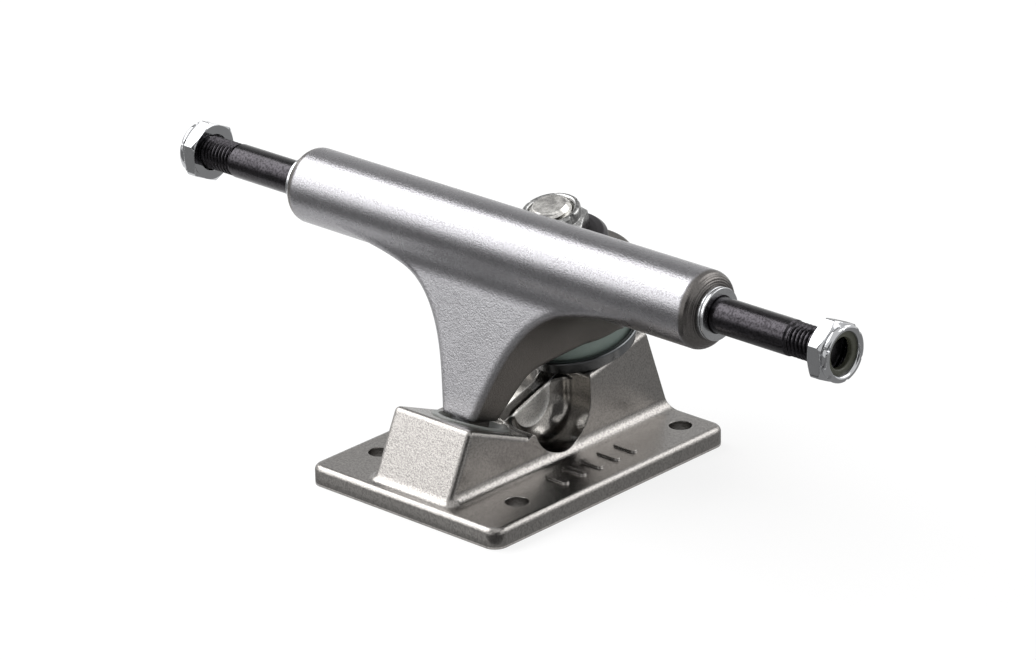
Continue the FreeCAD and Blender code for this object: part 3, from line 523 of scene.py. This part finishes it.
Mesh = bmesh.types.BMesh
Point = tuple[float, float]
# The most radius that an angle and a height allow.
Limit = Callable[[float, float], float]


@dataclass(frozen=True)
class Corner:
    """One corner (radius, height) of a turned outline, with its own rounding."""

    radius: float
    height: float
    rounding: float = 0.0


@dataclass(frozen=True)
class Outline:
    """The outline that a turned piece sweeps round local Z."""

    corners: tuple[Corner, ...]
    closed: bool = True
    arc_steps: int = 4

    def points(self) -> list[Point]:
        """The outline as a run of points, with each rounded corner as an arc."""
        spots = [Vector((c.radius, c.height)) for c in self.corners]
        run: list[Point] = []
        for i, corner in enumerate(self.corners):
            inner = self.closed or 0 < i < len(spots) - 1
            if corner.rounding and inner:
                after = spots[(i + 1) % len(spots)]
                run += self._arc(spots[i - 1], spots[i], after, corner.rounding)
            else:
                run.append(tuple(spots[i]))
        return run

    def _arc(self, before: Vector, corner: Vector, after: Vector,
             rounding: float) -> list[Point]:
        """Points of the arc that rounds one corner."""
        back, on = (before - corner).normalized(), (after - corner).normalized()
        half = back.angle(on) / 2
        centre = corner + (back + on).normalized() * rounding / sin(half)
        start = corner + back * rounding / tan(half) - centre
        end = corner + on * rounding / tan(half) - centre
        sweep = pi - 2 * half
        spots = []
        for i in range(self.arc_steps + 1):
            share = i / self.arc_steps
            spot = start * sin((1 - share) * sweep) + end * sin(share * sweep)
            spots.append(tuple(centre + spot / sin(sweep)))
        return spots


def ramp(start: Point, end: Point, steps: int) -> list[Corner]:
    """Corners at even steps along a straight line, both ends among them."""
    (radius, height), (end_radius, end_height) = start, end
    return [Corner(radius + (end_radius - radius) * i / steps,
                   height + (end_height - height) * i / steps) for i in range(steps + 1)]


def turned(outline: Outline, segments: int = 96) -> Mesh:
    """Sweeps an outline once round local Z.

    Args:
        outline: The outline in millimetres.
        segments: Steps of the full turn.

    Returns:
        A closed mesh.
    """
    made = bmesh.new()
    verts = [made.verts.new((radius, 0, height)) for radius, height in outline.points()]
    edges = [made.edges.new(pair) for pair in zip(verts, verts[1:])]
    if outline.closed:
        edges.append(made.edges.new((verts[-1], verts[0])))
    bmesh.ops.spin(made, geom=verts + edges, cent=(0, 0, 0), axis=(0, 0, 1), dvec=(0, 0, 0),
                   angle=2 * pi, steps=segments, use_merge=True)
    bmesh.ops.remove_doubles(made, verts=made.verts, dist=WELD)
    bmesh.ops.recalc_face_normals(made, faces=made.faces)
    return made


def press(made: Mesh, low: float, high: float, limit: Limit) -> None:
    """Pulls vertices between two heights in to a limit of radius by (angle, height)."""
    for vert in made.verts:
        if low <= vert.co.z <= high:
            reach = vert.co.xy.length
            most = limit(atan2(vert.co.y, vert.co.x), vert.co.z)
            if reach > most:
                vert.co.xy *= most / reach


def corner_radius(flats: float) -> float:
    """The distance from a hexagon's middle to its sharp corners."""
    return flats / 2 / cos(HEX_HALF)


def hexagon_limit(flats: float, turn: float) -> Limit:
    """The radius by angle of a hexagon bar with a slightly rounded corner at the turn."""
    corner = corner_radius(flats) * CORNER_SHARE

    def limit(angle: float, _height: float) -> float:
        off = (angle - radians(turn)) % HEX_STEP
        return min(flats / 2 / cos(off - HEX_HALF), corner)

    return limit


@dataclass(frozen=True)
class Thread:
    """A right-handed helical thread along local Z."""

    major: float
    minor: float
    pitch: float
    start: float
    end: float
    chamfer: float = 0.9
    segments: int = 48
    lead_in: float = 1.5
    spare_turns: int = 2

    def build(self) -> Mesh:
        """Sweeps one zigzag outline by one pitch a turn, trims both ends and closes them."""
        made = bmesh.new()
        verts = [made.verts.new((radius, 0, height)) for radius, height in self._outline()]
        edges = [made.edges.new(pair) for pair in zip(verts, verts[1:])]
        bmesh.ops.spin(made, geom=verts + edges, cent=(0, 0, 0), axis=(0, 0, 1),
                       dvec=(0, 0, self.pitch / self.segments), angle=2 * pi,
                       steps=self.segments)
        bmesh.ops.remove_doubles(made, verts=made.verts, dist=WELD)
        self._trim(made, self.start, False)
        self._trim(made, self.end, True)
        press(made, self.end - self.chamfer - WELD, self.end + WELD, self._tip)
        bmesh.ops.recalc_face_normals(made, faces=made.faces)
        return made

    def _outline(self) -> list[Point]:
        """The zigzag, from before the start to past the end."""
        turns = ceil((self.end - self.start) / self.pitch) + self.spare_turns
        base = self.start - self.pitch * self.lead_in
        run = [(self.major if crest else self.minor, base + (turn + share) * self.pitch)
               for turn in range(turns) for share, crest in THREAD_FORM]
        return run + [(self.minor, base + turns * self.pitch)]

    def _trim(self, made: Mesh, height: float, outer: bool) -> None:
        """Cuts the thread at a height, over it or under it, and closes the cut."""
        bmesh.ops.bisect_plane(made, geom=made.verts[:] + made.edges[:] + made.faces[:],
                               dist=ON_CUT, plane_co=(0, 0, height), plane_no=(0, 0, 1),
                               clear_outer=outer, clear_inner=not outer)
        rim = [edge for edge in made.edges if edge.is_boundary
               and all(abs(vert.co.z - height) < WELD for vert in edge.verts)]
        bmesh.ops.contextual_create(made, geom=rim)

    def _tip(self, _angle: float, height: float) -> float:
        """The radius that the chamfer leaves at a height."""
        return self.major - self.chamfer + (self.end - height)


@dataclass(frozen=True)
class LockingNut:
    """A hexagon nut with a crimped collar that holds a nylon ring."""

    flats: float
    height: float
    collar_d: float
    collar_height: float
    bore_d: float
    insert_d: float
    insert_length: float
    insert_bore_d: float
    seat: float
    turn: float
    bore_gap: float = 0.05
    insert_gap: float = 0.02
    lead: float = 0.45
    base_round: float = 0.1
    shoulder_inset: float = 0.35
    groove_out: float = 0.12
    groove_up: float = 0.14
    collar_up: float = 0.42
    collar_round: float = 0.15
    bead_slack: float = 0.02
    mouth_inset: float = 0.35
    mouth_depth: float = 1.0
    room_past: float = 0.5
    insert_round: float = 0.1
    insert_lead: float = 0.5
    crimps: int = 6
    crimp_band: float = 0.9
    crimp_depth: float = 0.7
    crimp_start: float = 0.82

    def body(self) -> Mesh:
        """The metal nut."""
        hexagon = self.height - self.collar_height
        run = self._outside(hexagon) + self._collar(hexagon) + self._inside()
        made = turned(Outline(tuple(run)), segments=144)
        press(made, 0, hexagon + WELD, hexagon_limit(self.flats, self.turn))
        press(made, self.height - self.crimp_band, self.height, self._crimp)
        bmesh.ops.translate(made, verts=made.verts, vec=(0, 0, self.seat))
        return made

    def _outside(self, hexagon: float) -> list[Corner]:
        """The base and the hexagon's side, with a conical chamfer at both ends."""
        corner, slope = corner_radius(self.flats), tan(HEX_HALF)
        half, bore = self.flats / 2, self.bore_d / 2 + self.bore_gap
        shoulder = self.collar_d / 2 - self.shoulder_inset
        fall = (corner - shoulder) * slope
        return [Corner(bore + self.lead, 0), Corner(half - self.base_round, 0, self.base_round),
                *ramp((half, 0), (corner, (corner - half) * slope), steps=6),
                *ramp((corner, hexagon - fall), (shoulder, hexagon), steps=8)]

    def _collar(self, hexagon: float) -> list[Corner]:
        """The groove over the hexagon and the collar with its rolled rim."""
        collar, mouth = self.collar_d / 2, self.insert_d / 2 - self.mouth_inset
        groove = collar - self.shoulder_inset + self.groove_out
        bead = (collar - mouth) / 2
        return [Corner(groove, hexagon + self.groove_up),
                Corner(collar, hexagon + self.collar_up, self.collar_round),
                Corner(collar, self.height, bead),
                Corner(mouth, self.height, collar - mouth - bead - self.bead_slack),
                Corner(mouth, self.height - self.mouth_depth)]

    def _inside(self) -> list[Corner]:
        """The insert's room and the bore."""
        room, bore = self.insert_d / 2 + self.insert_gap, self.bore_d / 2 + self.bore_gap
        floor = self.height - self.room_past - self.insert_length
        return [Corner(room, self.height - self.mouth_depth), Corner(room, floor),
                Corner(bore, floor), Corner(bore, self.lead)]

    def _crimp(self, angle: float, _height: float) -> float:
        """The collar's rim with a shallow dent at each crimp."""
        wave = cos(self.crimps * (angle - radians(self.turn)))
        dent = max(0.0, wave - self.crimp_start) / (1 - self.crimp_start)
        return self.collar_d / 2 - self.crimp_depth * dent

    def insert(self) -> Mesh:
        """The nylon ring."""
        high = self.seat + self.height - self.mouth_depth
        low = high - self.insert_length + self.room_past
        outer, bore = self.insert_d / 2, self.insert_bore_d / 2
        run = (Corner(bore, low), Corner(outer, low), Corner(outer, high, self.insert_round),
               Corner(bore, high, self.insert_lead))
        return turned(Outline(run), segments=72)


# Pieces

Piece = bpy.types.Object


def stand(name: str, made: Mesh) -> Piece:
    """Makes a built mesh an object of the scene; the built mesh is freed."""
    mesh = bpy.data.meshes.new(name)
    made.to_mesh(mesh)
    made.free()
    piece = bpy.data.objects.new(name, mesh)
    bpy.context.scene.collection.objects.link(piece)
    return piece


def place(name: str, made: Mesh, frame: Matrix, finish: Finish) -> Piece:
    """Turns a built mesh into a finished object in the row frame.

    Args:
        name: The piece's name.
        made: The mesh in millimetres in its local frame; it is freed.
        frame: The local frame in the row.
        finish: The piece's finish.

    Returns:
        The object, with its place in its vertices.
    """
    bmesh.ops.transform(made, matrix=Matrix.Scale(MM, 4) @ frame, verts=made.verts)
    piece = stand(name, made)
    piece.data.shade_smooth()
    piece.data.set_sharp_from_angle(angle=SHARP_ANGLE)
    piece.data.materials.append(material(finish))
    weighted = piece.modifiers.new("weighted normals", "WEIGHTED_NORMAL")
    weighted.keep_sharp = True
    return piece


_materials: dict[str, bpy.types.Material] = {}


def material(finish: Finish) -> bpy.types.Material:
    """The finish's material, built once."""
    if finish.name not in _materials:
        _materials[finish.name] = finish.material()
    return _materials[finish.name]


def fit(piece: Piece, body: str, slot: str, *nodes: str) -> None:
    """Puts a piece on its body, hides the nodes that it stands for and logs it with its slot."""
    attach(piece, body)
    register(piece, slot, *nodes)


def register(piece: Piece, slot: str, *nodes: str) -> None:
    """Hides the nodes that a piece stands for and logs the piece with its slot."""
    if nodes:
        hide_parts(*nodes)
    LOG.info("%s: %d faces, slot %s", piece.name, len(piece.data.polygons), slot)


def dress_node(frame: dict, node: str, finish: Finish, slot: str) -> None:
    """Gives a CAD node its material."""
    piece = frame["nodes"][node]
    for holder in piece.material_slots:
        holder.material = material(finish)
    register(piece, slot)


@dataclass(frozen=True)
class Baseplate:
    """The mounting casting with the liner of its pivot socket."""

    lip_radius: float = 8.8
    cup_radius: float = 8.1
    floor: float = -7.15
    floor_round: float = 0.6
    depth: float = 4.3
    lip: float = 0.4
    lip_round: float = 0.2
    bore: float = 5.85
    bore_steps: int = 10
    flare: float = 1.5

    def build(self, frame: dict) -> None:
        """Dresses the casting and builds the liner."""
        dress_node(frame, "baseplate", SATIN_BASE, "baseplate_cast")
        top = self.depth + self.lip
        run = [Corner(0, self.floor), Corner(self.cup_radius, self.floor, self.floor_round),
               Corner(self.cup_radius, self.depth), Corner(self.lip_radius, self.depth),
               Corner(self.lip_radius, top, self.lip_round),
               Corner(self.bore + self.flare, top, self.lip_round),
               Corner(self.bore, top - self.flare), *self._socket()]
        liner = turned(Outline(tuple(run), closed=False))
        fit(place("pivot_cup_liner", liner, CUP, LINER_URETHANE_SHADED), "base", "liner_urethane",
            "pivot_cup")

    def _socket(self) -> list[Corner]:
        """The half round that holds the ball, from its rim to its lowest point."""
        turns = [pi / 2 * i / self.bore_steps for i in range(self.bore_steps, -1, -1)]
        return [Corner(self.bore * sin(turn), -self.bore * cos(turn)) for turn in turns]


@dataclass(frozen=True)
class Barrel:
    """A bushing's ends by height and radius, and how far its side swells between them."""

    low: float
    high: float
    low_r: float
    high_r: float
    swell: float = 0.0


@dataclass(frozen=True)
class KingpinStack:
    """The kingpin with its washers, bushings and locking nut."""

    pin_r: float = 4.765
    bore_gap: float = 0.05
    head_flats: float = 14.29
    head_low: float = -20.7
    head_high: float = -15.7
    head_inset: float = 0.3
    head_round: float = 0.2
    head_chamfer: float = 0.7
    shank_end: float = 27.5
    shank_chamfer: float = 0.5
    thread_start: float = 27.2
    thread_gap: float = 0.02
    thread_depth: float = 0.6
    end: float = 36.5
    bushing_round: float = 0.9
    bushing_steps: int = 10
    bottom_barrel: Barrel = Barrel(low=1.5, high=13.3, low_r=12.5, high_r=12.5, swell=0.25)
    top_barrel: Barrel = Barrel(low=18.3, high=26.8, low_r=11.8, high_r=9.3)
    bottom_bore: tuple[float, float] = (0, 1.5)
    bottom_cup: tuple[Corner, ...] = (
        Corner(13.2, 0, 0.9), Corner(14.5, 3.7, 0.45), Corner(13.1, 3.7, 0.3),
        Corner(12.65, 1.5, 0.3))
    top_bore: tuple[float, float] = (26.8, 28.3)
    top_cup: tuple[Corner, ...] = (
        Corner(10.15, 26.8), Corner(10.15, 26.0, 0.2), Corner(11.45, 26.0, 0.3),
        Corner(11.45, 27.0, 0.6), Corner(10.6, 28.0, 0.6), Corner(9.2, 28.3, 0.6))
    nut: LockingNut = LockingNut(
        flats=14.29, height=7.2, collar_d=13.4, collar_height=2.6, bore_d=9.53, insert_d=11.2,
        insert_length=1.8, insert_bore_d=9.63, seat=28.3, turn=0)

    def build(self) -> None:
        """Builds every piece of the stack."""
        self._bolt()
        self._washer("bottom_washer", self.bottom_bore, self.bottom_cup, CUP_STEEL,
                     "washer_steel")
        self._washer("top_washer", self.top_bore, self.top_cup, DARK_STEEL, "washer_dark")
        self._bushing("bottom_bushing", self.bottom_barrel)
        self._bushing("top_bushing", self.top_barrel)
        self._nut()

    def _bolt(self) -> None:
        """The bolt in one piece from its head to its shank's end, and its thread."""
        head_r = corner_radius(self.head_flats)
        run = (Corner(0, self.head_low),
               Corner(self.head_flats / 2 - self.head_inset, self.head_low, self.head_round),
               Corner(head_r, self.head_low + self.head_chamfer),
               Corner(head_r, self.head_high), Corner(self.pin_r, self.head_high),
               Corner(self.pin_r, self.shank_end - self.shank_chamfer),
               Corner(self.pin_r - self.shank_chamfer, self.shank_end),
               Corner(0, self.shank_end))
        shank = turned(Outline(run, closed=False), segments=144)
        press(shank, self.head_low, self.head_high, hexagon_limit(self.head_flats, 0))
        fit(place("kingpin_bolt", shank, KINGPIN, PIN_STEEL), "base", "kingpin_steel", "kingpin")
        major = self.pin_r - self.thread_gap
        thread = Thread(major, major - self.thread_depth, PITCH_24, self.thread_start, self.end,
                        chamfer=1.0)
        fit(place("kingpin_thread", thread.build(), KINGPIN, PIN_STEEL), "base", "kingpin_steel")

    def _washer(self, name: str, heights: tuple[float, float], outside: tuple[Corner, ...],
                finish: Finish, slot: str) -> None:
        """One cupped washer, from the heights of its bore and the corners outside it."""
        low, high = (Corner(self.pin_r + self.bore_gap, height) for height in heights)
        run = (low, *outside, high)
        cup = place(name + "_cup", turned(Outline(run), segments=128), KINGPIN, finish)
        fit(cup, "base", slot, name)

    def _bushing(self, name: str, barrel: Barrel) -> None:
        """One bushing between the part under it and the part over it."""
        bore, low, high = self.pin_r + self.bore_gap, barrel.low, barrel.high
        side = []
        for i in range(1, self.bushing_steps):
            share = i / self.bushing_steps
            radius = barrel.low_r + (barrel.high_r - barrel.low_r) * share
            radius += barrel.swell * sin(pi * share)
            side.append(Corner(radius, low + (high - low) * share))
        run = [Corner(bore, low), Corner(barrel.low_r, low, self.bushing_round), *side,
               Corner(barrel.high_r, high, self.bushing_round),
               *ramp((bore, high), (bore, low), self.bushing_steps)[:-1]]
        piece = place(name + "_urethane", turned(Outline(tuple(run))), KINGPIN, TEAL_URETHANE)
        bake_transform(piece)
        register(piece, "bushing_urethane", name)

    def _nut(self) -> None:
        """The locking nut with its ring."""
        body = place("kingpin_nut_body", self.nut.body(), KINGPIN, BLOTCHED_CHROME)
        fit(body, "kingpin_nut", "nut_chrome", "kingpin_nut")
        ring = place("kingpin_nut_ring", self.nut.insert(), KINGPIN, OLIVE_NYLON)
        fit(ring, "kingpin_nut", "insert_nylon", "kingpin_nut_insert")


@dataclass(frozen=True)
class AxleSet:
    """The hanger's axle with its threads, nuts and speed washers."""

    grip_r: float = 4.15
    grip_end: float = 61.9
    journal_r: float = 3.97
    shoulder: float = 82.0
    groove_depth: float = 0.45
    groove_start: float = 0.3
    groove_end: float = 0.9
    thread_r: float = 3.8
    thread_depth: float = 0.5
    thread_start: float = 0.7
    end: float = 92.6
    washer_gap: float = 0.05
    washer_r: float = 5.85
    washer_t: float = 0.94
    washer_start: float = 60.02
    washer_round: float = 0.2
    washer_bore_round: float = 0.08
    nut_turn: float = 6

    def build(self) -> None:
        """Builds the rod, then each end."""
        self._rod()
        for side in Side:
            self._thread(side)
            self._nut(side)
            self._washers(side)

    def _rod(self) -> None:
        """The plain rod with a groove before each thread."""
        groove, start = self.journal_r - self.groove_depth, self.shoulder + self.groove_start
        end = self.shoulder + self.groove_end
        half = [(self.grip_r, self.grip_end), (self.journal_r, self.grip_end),
                (self.journal_r, self.shoulder), (groove, start), (groove, end), (0.0, end)]
        run = [Corner(radius, -height) for radius, height in half[::-1]]
        run += [Corner(*spot) for spot in half]
        shape = turned(Outline(tuple(run), closed=False), segments=72)
        rod = place("axle_rod", shape, Side.RIGHT.frame, BLACK_OXIDE)
        fit(rod, "hanger", "axle_black", "axle")

    def _thread(self, side: Side) -> None:
        """The thread of one end."""
        thread = Thread(self.thread_r, self.thread_r - self.thread_depth, PITCH_24,
                        self.shoulder + self.thread_start, self.end)
        piece = place("axle_thread_" + side.word, thread.build(), side.frame, BLACK_OXIDE)
        fit(piece, "hanger", "axle_black")

    def _nut(self, side: Side) -> None:
        """The nut of one end with its ring."""
        nut = LockingNut(flats=12.7, height=5.2, collar_d=12.7, collar_height=1.6, bore_d=7.6,
                         insert_d=10.2, insert_length=1.8, insert_bore_d=6.9, seat=90.8,
                         turn=self.nut_turn * side.value)
        body = "axle_nut_" + side.word
        fit(place(body + "_body", nut.body(), side.frame, CHROME), body, "nut_chrome", body)
        fit(place(body + "_ring", nut.insert(), side.frame, OLIVE_NYLON), body, "insert_nylon",
            "axle_nut_insert_" + side.word)

    def _washers(self, side: Side) -> None:
        """The two speed washers of one end."""
        bore = self.grip_r + self.washer_gap
        for i, where in enumerate(("inner", "outer")):
            low = self.washer_start + i * self.washer_t
            high = low + self.washer_t
            run = (Corner(bore, low, self.washer_bore_round),
                   Corner(self.washer_r, low, self.washer_round),
                   Corner(self.washer_r, high, self.washer_round),
                   Corner(bore, high, self.washer_bore_round))
            node = f"speed_washer_{where}_{side.word}"
            piece = place(node + "_disc", turned(Outline(run)), side.frame, BRIGHT_STEEL)
            fit(piece, "washers_" + side.word, "washer_steel", node)


@dataclass(frozen=True)
class Hanger:
    """The steering casting."""

    def build(self, frame: dict) -> None:
        """Dresses the casting."""
        dress_node(frame, "hanger", SATIN_HANGER, "hanger_cast")


# Studio

# The point that lamps and cards face, in metres.
LIT_POINT = Vector((0, 0, 0.03))


def reflector(name: str, frame: Matrix, width: float, height: float, radiance: float) -> None:
    """Adds an evenly bright rectangle that only reflections see.

    Args:
        name: The rectangle's name.
        frame: Its place in the row, in metres, with its face along local X and Y.
        width: Its size along local X in metres.
        height: Its size along local Y in metres.
        radiance: Its brightness, where 1 is white.
    """
    made = bmesh.new()
    bmesh.ops.create_grid(made, x_segments=1, y_segments=1, size=0.5)
    bmesh.ops.scale(made, vec=(width, height, 1), verts=made.verts)
    bmesh.ops.transform(made, matrix=frame, verts=made.verts)
    piece = stand(name, made)
    piece.visible_camera = piece.visible_diffuse = piece.visible_shadow = False
    paper = blank_material(name)
    glow = add(paper.node_tree, "ShaderNodeEmission", {"Strength": radiance})
    add(paper.node_tree, "ShaderNodeOutputMaterial", links={"Surface": glow.outputs[0]})
    piece.data.materials.append(paper)


@dataclass(frozen=True)
class Panel:
    """A soft box or a card that faces the object."""

    name: str
    azimuth: float
    elevation: float
    distance: float
    width: float
    height: float
    radiance: float

    def _frame(self) -> Matrix:
        """The panel's place, facing the object, from its angles in the row frame."""
        azimuth, rise = radians(self.azimuth), radians(self.elevation)
        out = Vector((cos(azimuth) * cos(rise), sin(azimuth) * cos(rise), sin(rise)))
        turn = (-out).to_track_quat("-Z", "Y")
        return Matrix.Translation(LIT_POINT + out * self.distance) @ turn.to_matrix().to_4x4()

    def light(self) -> None:
        """Makes it a lamp of even brightness."""
        lamp = bpy.data.lights.new(self.name, "AREA")
        lamp.shape = "RECTANGLE"
        lamp.size, lamp.size_y = self.width, self.height
        lamp.energy = self.radiance * pi * self.width * self.height
        holder = bpy.data.objects.new(self.name, lamp)
        holder.matrix_world = self._frame()
        bpy.context.scene.collection.objects.link(holder)

    def card(self) -> None:
        """Makes it a card that only reflections see."""
        reflector(self.name, self._frame(), self.width, self.height, self.radiance)


@dataclass(frozen=True)
class DarkFloor:
    """A part of the floor that reflections see darker than white."""

    name: str
    middle: tuple[float, float]
    azimuth: float
    length: float
    width: float
    radiance: float
    height: float = 0.0005

    def lay(self) -> None:
        """Lays it just over the floor, its length along its azimuth."""
        turn = Matrix.Rotation(radians(self.azimuth), 4, "Z")
        frame = Matrix.Translation((*self.middle, self.height)) @ turn
        reflector(self.name, frame, self.length, self.width, self.radiance)


@dataclass(frozen=True)
class Studio:
    """The pale floor, the surroundings, the lamps and the camera."""

    fill: float = 0.5
    floor_half: float = 4.0
    floor_drop: float = 0.0001
    floor_glow: float = 1.15
    floor_matt: float = 0.3
    floor_albedo: float = 0.8
    sensor: float = 36.0
    clip: tuple[float, float] = (0.1, 20.0)
    azimuth: float = 43.113
    elevation: float = 22.447
    roll: float = -1.215
    lens: float = 180.8
    camera_mm: tuple[float, float, float] = (723.78, -776.53, 469.38)
    key: Panel = Panel("high soft box", 198, 46, 1.0, 0.95, 0.62, 4.3)
    low: Panel = Panel("low soft box", 228, 20, 1.0, 0.6, 0.3, 2.5)
    # Name, azimuth, elevation, distance, width, height and radiance, as for the two above.
    cards: tuple[Panel, ...] = (
        Panel("dark card behind", 133, 30, 1.1, 1.3, 0.9, 0.72),
        Panel("dark card at the camera", 318, 8, 1.4, 1.5, 1.5, 0.12),
        Panel("dark card above", 152, 48, 1.05, 0.6, 0.55, 0.4),
        Panel("bright strip", 55, 37, 1.0, 0.9, 0.62, 3.0))
    # Name, middle, azimuth, length, width and radiance.
    floors: tuple[DarkFloor, ...] = (
        DarkFloor("dark floor in front", (-0.1, -0.53), 0, 1.8, 0.93, 0.28),
        DarkFloor("grey floor before the plate", (-0.01, -0.054), 0, 0.09, 0.021, 0.62),
        DarkFloor("dark floor at the right", (0.49, 0.432), 0, 1.12, 0.985, 0.36),
        DarkFloor("dark strip towards the camera", (0.3702, -0.406), 313, 1.0, 0.02, 0.1,
                  height=0.0008))

    def build(self) -> None:
        """Builds the studio and sets the view."""
        self._surroundings()
        self._floor()
        self.key.light()
        self.low.light()
        for card in self.cards:
            card.card()
        for floor in self.floors:
            floor.lay()
        self._camera()
        bpy.context.scene.view_settings.view_transform = "Standard"

    def _seen(self, tree: Tree) -> Node:
        """1 for rays from the camera, from reflections and through glass, 0 for diffuse ones."""
        rays = add(tree, "ShaderNodeLightPath").outputs
        seen = add(tree, MATHS, LARGER, {0: rays["Is Camera Ray"], 1: rays["Is Glossy Ray"]})
        return add(tree, MATHS, LARGER, {0: seen, 1: rays["Is Transmission Ray"]})

    def _surroundings(self) -> None:
        """A white world that lights the object by the fill and is seen at full brightness."""
        world = bpy.data.worlds.new("studio")
        world.use_nodes = True
        tree = world.node_tree
        tree.nodes.clear()
        share = TIMES_PLUS | {1: 1 - self.fill, 2: self.fill}
        strength = add(tree, MATHS, share, {0: self._seen(tree)})
        white = {"Color": (1, 1, 1, 1)}
        light = add(tree, "ShaderNodeBackground", white, {"Strength": strength})
        add(tree, "ShaderNodeOutputWorld", links={"Surface": light.outputs[0]})
        bpy.context.scene.world = world

    def _floor(self) -> None:
        """Pale paper that glows a little and takes a soft shadow."""
        made = bmesh.new()
        bmesh.ops.create_grid(made, x_segments=1, y_segments=1, size=self.floor_half)
        bmesh.ops.translate(made, verts=made.verts, vec=(0, 0, -self.floor_drop))
        floor = stand("floor", made)
        paper = blank_material("white paper")
        tree = paper.node_tree
        pale = (self.floor_albedo, self.floor_albedo, self.floor_albedo, 1)
        glow = add(tree, "ShaderNodeEmission", {"Strength": self.floor_glow})
        matt = add(tree, "ShaderNodeBsdfDiffuse", {"Color": pale})
        mix = add(tree, "ShaderNodeMixShader", {0: self.floor_matt},
                  {1: glow.outputs[0], 2: matt.outputs[0]})
        add(tree, "ShaderNodeOutputMaterial", links={"Surface": mix.outputs[0]})
        floor.data.materials.append(paper)

    def _camera(self) -> None:
        """The camera at the photograph's angle and distance."""
        azimuth, rise, roll = (radians(angle) for angle in (
            self.azimuth, self.elevation, self.roll))
        back = Vector((sin(azimuth) * cos(rise), -cos(azimuth) * cos(rise), sin(rise)))
        level = Vector((cos(azimuth), sin(azimuth), 0))
        upright = back.cross(level)
        right = level * cos(roll) + upright * sin(roll)
        up = upright * cos(roll) - level * sin(roll)
        camera = bpy.data.cameras.new("camera")
        camera.sensor_width, camera.lens = self.sensor, self.lens
        camera.clip_start, camera.clip_end = self.clip
        holder = bpy.data.objects.new("camera", camera)
        turn = Matrix((right, up, back)).transposed().to_4x4()
        holder.matrix_world = Matrix.Translation(Vector(self.camera_mm) * MM) @ turn
        bpy.context.scene.collection.objects.link(holder)
        bpy.context.scene.camera = holder


def main() -> None:
    """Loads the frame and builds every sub-assembly in order."""
    logging.basicConfig(level=logging.INFO, format="%(message)s")
    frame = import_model()
    Baseplate().build(frame)
    KingpinStack().build()
    Hanger().build(frame)
    AxleSet().build()
    Studio().build()


if __name__ == "__main__":
    main()
